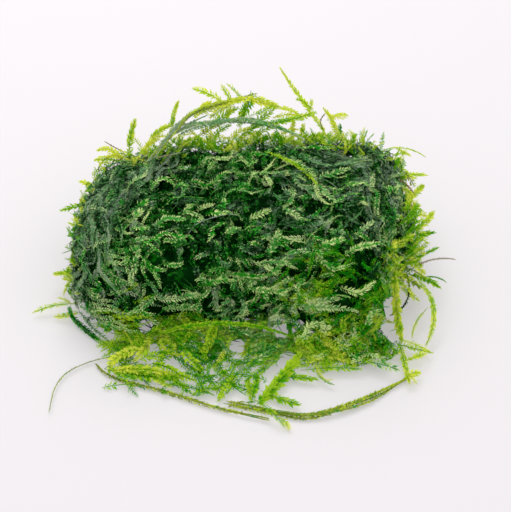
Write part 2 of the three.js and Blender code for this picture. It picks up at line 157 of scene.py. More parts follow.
# A named shoot is an arc: foot in mm, heading and rise of its middle in degrees, length, and turn and droop.
SHOOTS = {
    "lime": {
        "back_tall_shoot": ((22, 34.5, 24), 130, 30, 22.5, 30, 40),
        "back_tall_twig": ((17.5, 39, 29.5), -170, 35, 4, 40, -30),
        "back_cross_shoot": ((7, 31.5, 29), 5, 12, 12, 10, 20),
        "spray_left_tip": ((-5.5, 38, 31), 165, 20, 9, 0, -40),
        "spray_middle_tip": ((-3, 38, 31.5), 140, 45, 5, 10, 0),
        "spray_right_tip": ((0, 37.5, 32.5), 160, 40, 6, 20, 0),
        "spray_branch": ((4, 37.5, 33), -5, -25, 7, -10, 0),
        "spray_branch_end": ((10.5, 37, 30), 5, -30, 6, -30, -20),
        "spray_hanging_left": ((-3.5, 38, 31), -165, -35, 7, -10, 0),
        "spray_hanging_middle": ((2, 38.5, 32), -140, -55, 6, 0, 60),
        "spray_short": ((3.5, 34, 30), 20, 20, 5.5, 0, 30),
        "rim_upright_left": ((-30.5, 30, 22), 45, 70, 8.5, -50, 0),
        "rim_upright_middle": ((-19, 34.5, 26), 65, 50, 7, -40, 0),
        "rim_yellow_shoot": ((26, 34.5, 23), 150, 58, 7.5, 60, 20),
        "rim_yellow_twig": ((24.5, 37, 27), -15, 15, 4.5, 0, -60),
        "left_back_tip": ((-33.5, 28.5, 18.5), 172, -5, 7, 30, -20),
        "left_yellow_tuft": ((-39, 24, 12), 145, 0, 7, 10, -20),
        "left_edge_tip": ((-44, -3, 5.5), 165, -15, 5.5, 10, 0),
        "left_front_frond": ((-44, -12, 3), -170, -10, 10, 40, 0),
        "right_back_shoot": ((39, 31, 20.5), -3, -12, 11.5, -50, -30),
        "right_upper_tip": ((43.5, 26, 15.5), 10, -8, 7, -20, 0),
        "right_upper_hook": ((45.5, 21.5, 11.5), 50, 8, 6, 10, 0),
        "right_middle_frond": ((45.5, 6.5, 13), 45, 15, 7, 40, 10),
        "right_loop_shoot": ((45.5, -9.5, 8), -90, -20, 19, -70, -20),
        "right_hanging_frond": ((38.5, -11.5, 12), -84, -37, 18, 0, 60),
        "right_trailing_frond": ((39.5, -26.5, 1.6), -85, 0, 13, 0, 0),
        "right_trailing_branch": ((40, -26, 1.6), -20, 0, 8, 0, 0),
        "right_thin_shoot": ((46, -15.5, 3), -112, -5, 9.5, 30, -10),
    },
    "green": {
        "left_middle_tip": ((-41.5, 19, 11), -165, -5, 7.5, 10, 0),
        "right_lower_frond": ((45, 4, 10.5), 25, 10, 6, -20, -30),
        "right_low_frond": ((45, -0.5, 8.5), 30, 5, 7.5, 0, 0),
        "right_olive_tip": ((44, -4.6, 6.2), -20, -15, 8, 0, -30),
        "front_main_fern": ((14.5, -30.5, 3.5), -125, -8, 18.5, -10, 10),
        "front_main_right": ((11, -36.5, 1.6), -10, 0, 7.5, 10, 0),
        "front_main_low": ((6.8, -42.6, 1.2), -25, 0, 8, 20, 0),
        "front_main_tip": ((3.5, -45, 1.6), -50, -2, 11, 0, -45),
        "front_main_left": ((3, -42.5, 1.4), 80, 0, 6.5, 0, 0),
        "front_lime_fern": ((17, -34.8, 2), 0, 0, 12.5, -20, 0),
        "front_hook_fern": ((18.5, -34.5, 1.4), -50, 0, 7, 70, 0),
        "front_broad_fern": ((-31, -35, 1.6), -8, 0, 17, 20, 0),
        "front_rising_fern": ((-31.5, -32.5, 1.8), 45, 12, 11, 20, 0),
        "front_dark_fern": ((-6.5, -21.5, 5), -105, -10, 12, 20, 10),
        "front_corner_fern": ((-17, -30, 2.2), -40, -4, 12, -10, 0),
        "front_return_fern": ((2.5, -34, 2.5), -125, -5, 11, 0, 10),
        "front_low_fern": ((-17.5, -39.5, 1.4), -18, 0, 12, -30, 0),
        "front_arch_stem": ((-20.5, -25, 4.5), -2, 0, 35, 6, -62),
        "top_bright_shoot": ((8, 20.5, 26.5), -50, 0, 18, -40, 0),
    },
    "dark": {
        "right_dark_stem": ((42.5, -9, 7.5), -125, -28, 11, -100, 20),
    },
    "brown": {
        "left_brown_tip": ((-32, 28.5, 21.5), 168, 28, 6, 0, 10),
        "right_brown_twig": ((44.5, -3, 7.5), 10, 5, 11.5, -40, -25),
        "top_bare_twig": ((-22.5, 19, 26.5), 20, 0, 7, 10, 0),
    },
}
# The main fern is leafed from its tip back, because its leaves point that way.
LEAFED_BACK = ("front_main_fern",)
# A named stem: strands in its bundle, their size, the bundle's width in mm, tone and painted grey sheen, then
# its route in mm.
STEMS = {
    "olive": {
        "back_arch_upper": (
            3, 0.95, 1.6, 0.75, 0.1,
            (-24, 19, 26.5), (-20.5, 25, 27.5), (-17, 30.5, 28.5),
            (-13.5, 34.5, 30), (-7.5, 37, 31), (3.5, 38, 33),
        ),
        "front_loop_left": (
            2, 1.15, 0.5, 0.6, 0,
            (-36, -31.5, 0.8), (-31.5, -36, 0.8), (-18.5, -41, 0.8), (-6, -46.5, 0.8), (7, -50.5, 0.8),
        ),
        "front_loop_right": (
            4, 1.05, 1.4, 0.55, 0,
            (-4, -45, 0.8), (10.5, -49, 0.8), (19, -48.8, 0.8), (30.5, -43.5, 0.8), (41.5, -35.5, 0.8),
        ),
        "left_whisker": (
            1, 1, 0.3, 0.7, 0.3,
            (-27.5, -29.5, 1.2), (-35, -30, 0.8), (-42, -34, 0.8), (-45, -40, 0.8), (-45.5, -48.5, 0.8),
        ),
    },
    "dark": {
        "back_arch_lower": (
            5, 1.15, 1.7, 0.8, 0.6,
            (-18, 30.5, 26), (-12.5, 32.5, 27.5), (-0.5, 33.5, 28.5), (6.5, 31.5, 28.5), (15.5, 28, 26.5),
        ),
        "left_runner_outer": (
            3, 1.2, 0.9, 0.5, 0,
            (-43.5, -14, 4), (-42, -17, 1.5), (-35, -23.5, 0.8), (-28.5, -27.5, 0.8),
        ),
    },
}
# Shoots that show on top of the clump: their look, then their places on the unrolled surface in mm.
STREAKS = (
    ("green", (-25, -14), (-20.5, -9.5), (-16, -8.5), (-11.5, -11)),
    ("green", (-3.5, -4.5), (-7, -9), (-8.5, -11.5)),
    ("green", (-28, -6.5), (-23, -8)),
    ("green", (-27.5, -4), (-25, -1)),
    ("pale", (-21.5, -5.5), (-18, -3), (-14, -3)),
    ("grey", (-14.5, -6.5), (-7, -3.5), (-1.5, -2.5)),
    ("pale", (-28.5, -11.5), (-23.5, -12)),
    ("pale", (-28, -15), (-25.5, -14)),
    ("pale", (-28, -19), (-26, -14.5)),
    ("pale", (-25.5, -23), (-19.5, -22.5), (-13, -23.5)),
    ("pale", (-23, -24.5), (-15, -26.5)),
    ("green", (-13, -21.5), (-6.5, -21.5), (-1.5, -22)),
    ("green", (-5, -20.5), (4, -20), (10, -21)),
    ("pale", (1, -16.5), (9, -18), (15, -19)),
    ("pale", (6, -17), (10, -11)),
    ("green", (1, -24), (9, -24.5), (15, -24)),
    ("lime", (1, 11), (6, 16.5), (9, 21)),
    ("lime", (8, 19), (12.5, 18.5), (16.5, 15), (19, 11), (20, 4.5), (23.5, -1)),
    ("lime", (10, 21.5), (12, 19.5), (16, 17)),
    ("olive", (-11, 18.5), (-9.5, 20.5), (-7, 19)),
    ("green", (-24, 10.5), (-21.5, 13.5), (-19.5, 13.5), (-17.5, 8.5)),
    ("green", (-17.5, 9), (-14, 10.5)),
    ("olive", (-14, -3.5), (-9.5, -3)),
    ("green", (-27, 1), (-23.5, 1.5)),
    ("green", (-9.5, -0.5), (-3, -3)),
    ("green", (1.5, -2), (8, -2.5)),
    ("pale", (-34, -17.5), (-28, -17)),
    ("pale", (-34, -20.5), (-29.5, -20)),
    ("green", (-25, -15.5), (-22.5, -19)),
    ("pale", (-24, -21), (-26, -23), (-31, -25)),
    ("pale", (12.5, 11), (13.5, 6), (11.5, -2), (14, -4), (17.5, -8.5)),
    ("pale", (19.5, 10.5), (21, 6), (23.5, 1.5), (26, -1.5)),
    ("pale", (19.5, 10), (24, 12), (28.5, 13.5)),
    ("pale", (34, 16), (34, 6), (35, -0.5), (36, -8)),
    ("stem", (15.5, -13.5), (20, -9.5), (23, -7), (26, -5.5)),
    ("pale", (36, -8.5), (39, -11.5), (41.5, -16.5)),
    ("green", (26, 10.5), (29.5, 7.5), (33, 7)),
    ("lime", (29.5, -0.5), (32.5, -1)),
    ("pale", (28, -12.5), (33, -7.5)),
    ("green", (19, -15.5), (25.5, -14)),
    ("green", (17, -13.5), (20.5, -18.5), (24, -20.5), (28.5, -18.5)),
    ("pale", (7, -14), (9.5, -11)),
    ("green", (26, -17), (31, -14), (36, -12.5)),
    ("lime", (26.5, -24), (31, -24.5), (34, -22)),
    ("pale", (14, -28.5), (20, -27.5), (32.5, -28)),
    ("pale", (19.5, -26.5), (28, -25.5)),
    ("green", (23.5, -25), (30, -25)),
    ("lime", (16.5, -37), (21.5, -32.5), (25, -30.5)),
    ("green", (-20, 4), (-15, 6), (-10, 4.5)),
    ("pale", (2, 17), (8, 13), (12, 14.5)),
    ("green", (-14, 14), (-8, 12.5), (-3, 14.5)),
    ("pale", (-31, 8), (-27, 11.5), (-24.5, 16)),
    ("green", (13, 25), (19, 23), (25, 24.5)),
    ("pale", (-6, 6), (0, 8), (6, 6)),
    ("green", (22, -2), (26, 2), (31, 3)),
)
# What each of those looks is: how light, how much painted grey sheen, and its size.
STREAK_LOOKS = {
    "green": (0.72, 0, 1.15), "pale": (0.8, 0.25, 1.05), "lime": (1, 0, 1.15), "olive": (0.8, 0.2, 0.9),
    "grey": (0.6, 0.95, 0.8), "stem": (0.9, 0, 0.5),
}
# Locks of long thin strands: how many, half width in mm, and their places on the unrolled surface.
LOCKS = (
    (10, 2.2, (-38, 14), (-39.5, 1), (-41, -12)),
    (9, 2.6, (-31.5, 15), (-36, 5), (-36.5, -8), (-37, -16)),
    (7, 2.2, (-36, 7), (-35.5, -5), (-34, -15)),
    (7, 2.6, (-27, 14), (-33, 0), (-33.5, -12)),
    (8, 1.8, (-29, 10), (-25, 19), (-22, 26), (-17, 31)),
    (6, 2, (-40, 18), (-33, 20), (-26, 24)),
    (7, 2.2, (22, 25), (28.5, 19.5), (35, 15)),
    (7, 2.4, (14, 23), (20.5, 18), (28, 20)),
    (7, 2.2, (38, 20), (35, 3), (37.5, -6)),
    (5, 1.8, (26, 1), (31.5, -4), (34, -10)),
    (4, 2.4, (6, 4), (12, -3.5), (20, -10)),
    (5, 2, (10, 18), (16, 12), (22, 6)),
    (5, 1.8, (41, 24), (40, 12), (41, 0)),
)
# The record's material slot for each kind of moss, and how light its named shoots are.
TONES = {"lime": 0.7, "green": 0.7, "dark": 0.25, "brown": 0.5}
# Named shoots that aren't plain tips: style, what their size and tone are multiplied by, and painted grey
# sheen.
NAMED_LOOKS = {
    "front_main_fern": ("fern", 1.6, 1.22, 0), "front_main_right": ("tip", 1.1, 1, 0),
    "front_main_low": ("tip", 1.1, 1.1, 0),
    "front_main_tip": ("plume", 0.8, 1.15, 0), "front_main_left": ("fern", 0.75, 0.95, 0),
    "front_broad_fern": ("fern", 1.05, 1.15, 0), "front_rising_fern": ("plume", 1.1, 1.05, 0),
    "front_dark_fern": ("plume", 0.65, 0.5, 0), "front_corner_fern": ("plume", 0.75, 0.45, 0),
    "front_return_fern": ("plume", 0.65, 0.6, 0), "front_low_fern": ("plume", 0.65, 0.7, 0),
    "front_arch_stem": ("rope", 1.7, 1, 0), "front_lime_fern": ("plume", 0.75, 1.15, 0),
    "front_hook_fern": ("tip", 0.7, 1, 0), "right_hanging_frond": ("tip", 1.25, 1, 0),
    "right_trailing_frond": ("tip", 1.2, 0.9, 0), "right_trailing_branch": ("plume", 0.75, 1, 0),
    "right_loop_shoot": ("tip", 1.2, 0.9, 0), "right_back_shoot": ("rope", 0.8, 1, 0),
    "right_thin_shoot": ("rope", 0.8, 1, 0), "right_dark_stem": ("thread", 0.8, 1, 0),
    "top_bare_twig": ("thread", 0.7, 1, 1), "right_brown_twig": ("thread", 0.8, 1, 0.3),
    "left_brown_tip": ("thread", 0.8, 1, 0), "top_bright_shoot": ("rope", 1.3, 1.35, 0),
    "spray_left_tip": ("plume", 0.85, 1.3, 0), "spray_middle_tip": ("plume", 0.75, 1.3, 0),
    "spray_right_tip": ("plume", 0.75, 1, 0), "spray_hanging_left": ("plume", 0.85, 1.2, 0),
    "spray_branch": ("plume", 0.8, 1.2, 0), "spray_branch_end": ("plume", 0.8, 1.2, 0),
    "back_cross_shoot": ("plume", 0.75, 0.7, 0), "spray_short": ("plume", 0.9, 0.6, 0),
    "spray_hanging_middle": ("plume", 0.9, 0.4, 0), "back_tall_shoot": ("tip", 1.05, 1.1, 0),
    "left_edge_tip": ("tip", 1.1, 0.9, 0), "left_front_frond": ("plume", 0.7, 1, 0),
    "rim_yellow_shoot": ("tip", 0.9, 1.3, 0), "rim_yellow_twig": ("tip", 0.9, 1.3, 0),
    "left_yellow_tuft": ("tip", 1, 1.3, 0),
}
# A loose frond's colours: its slot, how light it is, and how much painted grey sheen it has.
COLOURS = {
    "lime": ("lime", 0.82, 0), "yellow": ("lime", 1, 0), "bright": ("green", 1, 0),
    "green": ("green", 0.75, 0), "dark": ("green", 0.5, 0), "teal": ("matted", 0.65, 0.2),
    "pale": ("matted", 0.8, 0.25), "grey": ("matted", 0.65, 0.85), "olive": ("olive", 0.6, 0),
    "brown": ("brown", 0.5, 0),
}
# Fronds lying on the thin front: colour, style, size, and their places in mm seen from above.
FRONDS = (
    ("green", "plume", 0.5, (-37.5, -21.5), (-33.5, -21.5), (-29, -22.5), (-25.5, -26)),
    ("lime", "thread", 0.9, (-30.5, -22), (-28.5, -25), (-26.5, -28.5)),
    ("green", "plume", 0.5, (-28, -24), (-26.5, -26.5), (-25, -30)),
    ("green", "tip", 0.8, (-26, -23), (-25, -26), (-23.5, -29), (-22.5, -32.5)),
    ("olive", "tip", 0.6, (-24.5, -24.5), (-23, -28), (-23.5, -31.5)),
    ("lime", "tip", 0.9, (-22.5, -25), (-23.5, -28.5), (-25, -31.5), (-26.5, -33)),
    ("lime", "fern", 1, (-23.5, -30), (-26.5, -30), (-29.5, -31.5), (-31.5, -33), (-32, -35)),
    ("lime", "fern", 1.05, (-31.5, -35.5), (-28, -35.5), (-24, -35.5), (-20, -36), (-16.5, -37)),
    ("bright", "fern", 0.95, (-22, -33.5), (-20, -34), (-17, -35.5), (-14, -37.5), (-11, -38.5)),
    ("bright", "plume", 1, (-25, -32.5), (-22.5, -31.5), (-19, -32)),
    ("green", "plume", 0.95, (-20, -38.5), (-17, -37.5), (-14.5, -39)),
    ("green", "plume", 0.7, (-19, -40.5), (-16, -39.5), (-12.5, -40.5)),
    ("green", "tip", 0.8, (-18, -37.5), (-14.5, -40), (-11.5, -42.5)),
    ("lime", "tip", 0.8, (-22, -37.5), (-19.5, -39.5), (-16.5, -40.5)),
    ("dark", "tip", 0.7, (-19, -40.5), (-18, -42.5)),
    ("bright", "fern", 0.8, (-14.5, -29.5), (-13, -32), (-11, -34), (-9.5, -35.5)),
    ("dark", "plume", 0.7, (-16, -29), (-13.5, -29.5), (-11, -31.5), (-9, -33)),
    ("dark", "tip", 0.8, (-12.5, -31.5), (-11, -33.5), (-9, -36.5)),
    ("dark", "plume", 0.65, (-9, -36), (-9.5, -39.5), (-10.5, -43)),
    ("dark", "tip", 0.9, (-14, -36), (-11.5, -37), (-8.5, -37.5), (-6, -37)),
    ("dark", "plume", 0.7, (-8.5, -39), (-6.5, -37.5), (-4.5, -36.5), (-2.5, -35)),
    ("dark", "tip", 0.7, (-7.5, -33), (-8, -36), (-8, -38.5)),
    ("green", "tip", 0.6, (-7, -34), (-6, -36.5)),
    ("dark", "plume", 0.8, (-7, -41.5), (-4.5, -40), (-2, -37.5), (0.5, -35.5)),
    ("green", "plume", 0.75, (-12, -43), (-9, -41), (-6.5, -41), (-3.5, -40.5)),
    ("bright", "fern", 0.85, (-1, -37), (-3, -39.5), (-4.5, -42.5), (-5.5, -44.5)),
    ("dark", "plume", 0.7, (-11, -40.5), (-9, -39), (-6.5, -39)),
    ("bright", "fern", 0.8, (-6.5, -20.5), (-7, -23.5), (-8, -27), (-9, -30.5)),
    ("bright", "plume", 0.6, (-10.5, -28), (-9.5, -30), (-8.5, -32.5)),
    ("lime", "tip", 0.6, (-3.5, -29), (-5, -32), (-6, -34)),
    ("green", "plume", 0.6, (-3.5, -31.5), (-4.5, -33), (-6.5, -34.5)),
    ("teal", "plume", 0.6, (-5.5, -26.5), (-4, -29.5), (-3, -31.5)),
    ("teal", "plume", 0.6, (1, -30), (3.5, -29), (6.5, -27.5)),
    ("teal", "plume", 0.6, (0.5, -32), (3.5, -30.5), (6.5, -29.5), (9, -28), (12, -25.5), (15, -23)),
    ("teal", "plume", 0.6, (-0.5, -33.5), (2.5, -33), (5.5, -31.5), (8.5, -29)),
    ("dark", "plume", 0.6, (0, -35.5), (2.5, -34.5), (5, -32.5)),
    ("dark", "tip", 0.8, (4, -34), (6, -32.5), (7.5, -31.5)),
    ("green", "plume", 0.5, (1.5, -27.5), (2, -29.5), (1.5, -32)),
    ("olive", "tip", 0.6, (1, -28), (1, -30), (0, -31.5)),
    ("teal", "plume", 0.6, (-13, -23.5), (-10.5, -24.5), (-8.5, -27)),
    ("dark", "plume", 0.6, (-14.5, -25.5), (-12, -27), (-9.5, -28.5)),
    ("teal", "plume", 0.6, (-15, -28), (-12.5, -28.5), (-10, -30)),
    ("bright", "tip", 0.8, (-12, -23.5), (-13, -25), (-14, -27)),
    ("bright", "plume", 0.5, (-20.5, -26.5), (-18.5, -27), (-17, -28.5), (-16.5, -30.5)),
    ("lime", "tip", 0.6, (-20, -26), (-17.5, -27), (-16, -29.5)),
    ("olive", "thread", 0.9, (-22.5, -25.5), (-19.5, -25.5), (-16, -26)),
    ("dark", "tip", 0.7, (-22.5, -30.5), (-20, -30.5), (-17, -30)),
    ("green", "plume", 0.6, (-22.5, -31.5), (-20.5, -31), (-18, -30.5), (-15.5, -30)),
    ("green", "tip", 0.7, (-22, -24.5), (-21, -23), (-19.5, -24.5)),
    ("bright", "tip", 0.9, (2, -38.5), (2, -41.5), (2.5, -44.5)),
    ("olive", "thread", 0.9, (-3, -46.5), (-0.5, -45), (1, -44.5)),
    ("dark", "thread", 0.8, (1, -45), (2.5, -45), (3.5, -44.5)),
    ("lime", "tip", 0.9, (9.5, -50), (10.5, -51.5), (11.5, -53.5)),
    ("yellow", "tip", 0.55, (18, -33.5), (19, -36.5), (20.5, -38.5), (22.5, -38)),
    ("lime", "plume", 0.7, (15.5, -34), (17.5, -32.5), (20, -31.5), (22.5, -31.5), (25.5, -32.5), (28, -34)),
    ("green", "plume", 0.6, (27, -31.5), (29.5, -32.5), (32.5, -33.5)),
    ("green", "tip", 0.8, (32, -30), (34, -32), (35.5, -34)),
    ("pale", "plume", 0.8, (31, -33), (38.5, -35.5)),
    ("lime", "plume", 0.7, (39.5, -26.5), (46.5, -30)),
    ("lime", "tip", 0.8, (41.5, -32), (45.5, -30.5)),
    ("lime", "tip", 0.8, (40, -37), (43.5, -36)),
    ("lime", "tip", 0.8, (40, -36), (42.5, -39.5)),
)
# Fronds lying on the clump itself: colour, style, size, and their places on the unrolled surface in mm.
ON_TOP = (
    ("grey", "rope", 0.9, (-36, -12.5), (-36, -17), (-35, -19.5), (-33.5, -21), (-32.5, -23)),
    ("grey", "rope", 0.8, (-37.5, -16), (-42, -17.5), (-44, -19), (-50, -20), (-49, -22.5)),
    ("grey", "rope", 0.7, (-39.5, -16.5), (-39, -20), (-39, -24)),
    ("grey", "rope", 0.7, (-34, -14), (-32, -17.5), (-32, -20)),
    ("pale", "tip", 0.6, (-36, -14.5), (-32, -16), (-27.5, -17)),
    ("pale", "tip", 0.9, (-26, -17), (-28, -18.5), (-30.5, -20)),
    ("pale", "tip", 0.7, (-50, -21.5), (-46, -24), (-38.5, -24.5), (-35, -25.5)),
    ("pale", "tip", 0.7, (-50, -23.5), (-45, -25.5), (-38.5, -27), (-33, -28)),
    ("pale", "tip", 0.7, (-49, -22.5), (-46.5, -24.5), (-39, -26), (-34, -27)),
    ("pale", "tip", 0.6, (-47, -22.5), (-41, -23.5), (-34.5, -24.5)),
    ("pale", "tip", 0.7, (-26, -22.5), (-30, -24.5), (-33, -25.5)),
    ("pale", "tip", 0.6, (-23.5, -19.5), (-26.5, -20.5), (-28.5, -22.5)),
    ("pale", "tip", 0.6, (-34, -18.5), (-33, -19.5), (-31, -20)),
    ("pale", "tip", 0.6, (-43.5, -20), (-42, -21.5), (-39.5, -22.5)),
    ("pale", "tip", 0.6, (-43, -21.5), (-40, -23), (-36, -23.5)),
    ("pale", "tip", 0.6, (-38.5, -22.5), (-34, -22), (-31, -21.5)),
    ("pale", "tip", 0.7, (-43, -26.5), (-36.5, -28), (-31.5, -30)),
    ("green", "tip", 0.6, (-32, -22), (-30, -20.5), (-28, -20)),
    ("green", "tip", 0.6, (-43, -25), (-37.5, -25), (-34.5, -25)),
    ("green", "tip", 0.7, (-30.5, -23.5), (-27, -22.5), (-24.5, -22)),
    ("bright", "plume", 0.7, (-38, -26.5), (-34.5, -26), (-30, -25.5), (-27.5, -26.5)),
    ("bright", "plume", 0.6, (-36.5, -27), (-33.5, -26.5), (-29.5, -26)),
    ("pale", "tip", 0.7, (-29.5, -26.5), (-28, -27), (-27, -28)),
    ("green", "tip", 0.7, (-36, -28), (-32, -28), (-28.5, -27.5)),
    ("green", "plume", 0.5, (-24.5, -27), (-20, -27), (-15, -29)),
    ("pale", "tip", 0.7, (-25, -25), (-19, -25.5), (-13.5, -26)),
    ("teal", "plume", 0.6, (-4, -31.5), (-0.5, -32.5), (3, -35), (5, -35)),
    ("teal", "plume", 0.6, (-8, -31), (-4, -33), (-1, -34.5)),
    ("teal", "plume", 0.6, (-7, -35), (-3, -34), (0.5, -35.5), (4, -35.5)),
    ("teal", "plume", 0.6, (1, -35.5), (5, -36.5), (9.5, -36.5)),
    ("bright", "tip", 0.7, (-12, -31), (-15, -33), (-17, -33)),
    ("bright", "plume", 0.6, (19.5, -33), (18.5, -35.5), (18, -38.5)),
    ("bright", "plume", 0.6, (18, -33.5), (20, -36.5), (22, -38.5)),
    ("lime", "tip", 0.8, (22.5, -32.5), (25.5, -34), (28.5, -34.5)),
    ("lime", "tip", 0.8, (24, -37), (26.5, -36.5), (29, -37)),
    ("lime", "plume", 0.6, (26, -37), (29, -38.5), (32, -39)),
    ("lime", "plume", 0.6, (26, -35.5), (29, -36), (32.5, -37.5)),
    ("green", "plume", 0.6, (29, -35.5), (32.5, -38), (34.5, -38)),
    ("dark", "plume", 0.6, (31, -34), (33.5, -35), (35.5, -36)),
    ("olive", "tip", 0.8, (36, -29), (40, -29), (43, -29)),
)
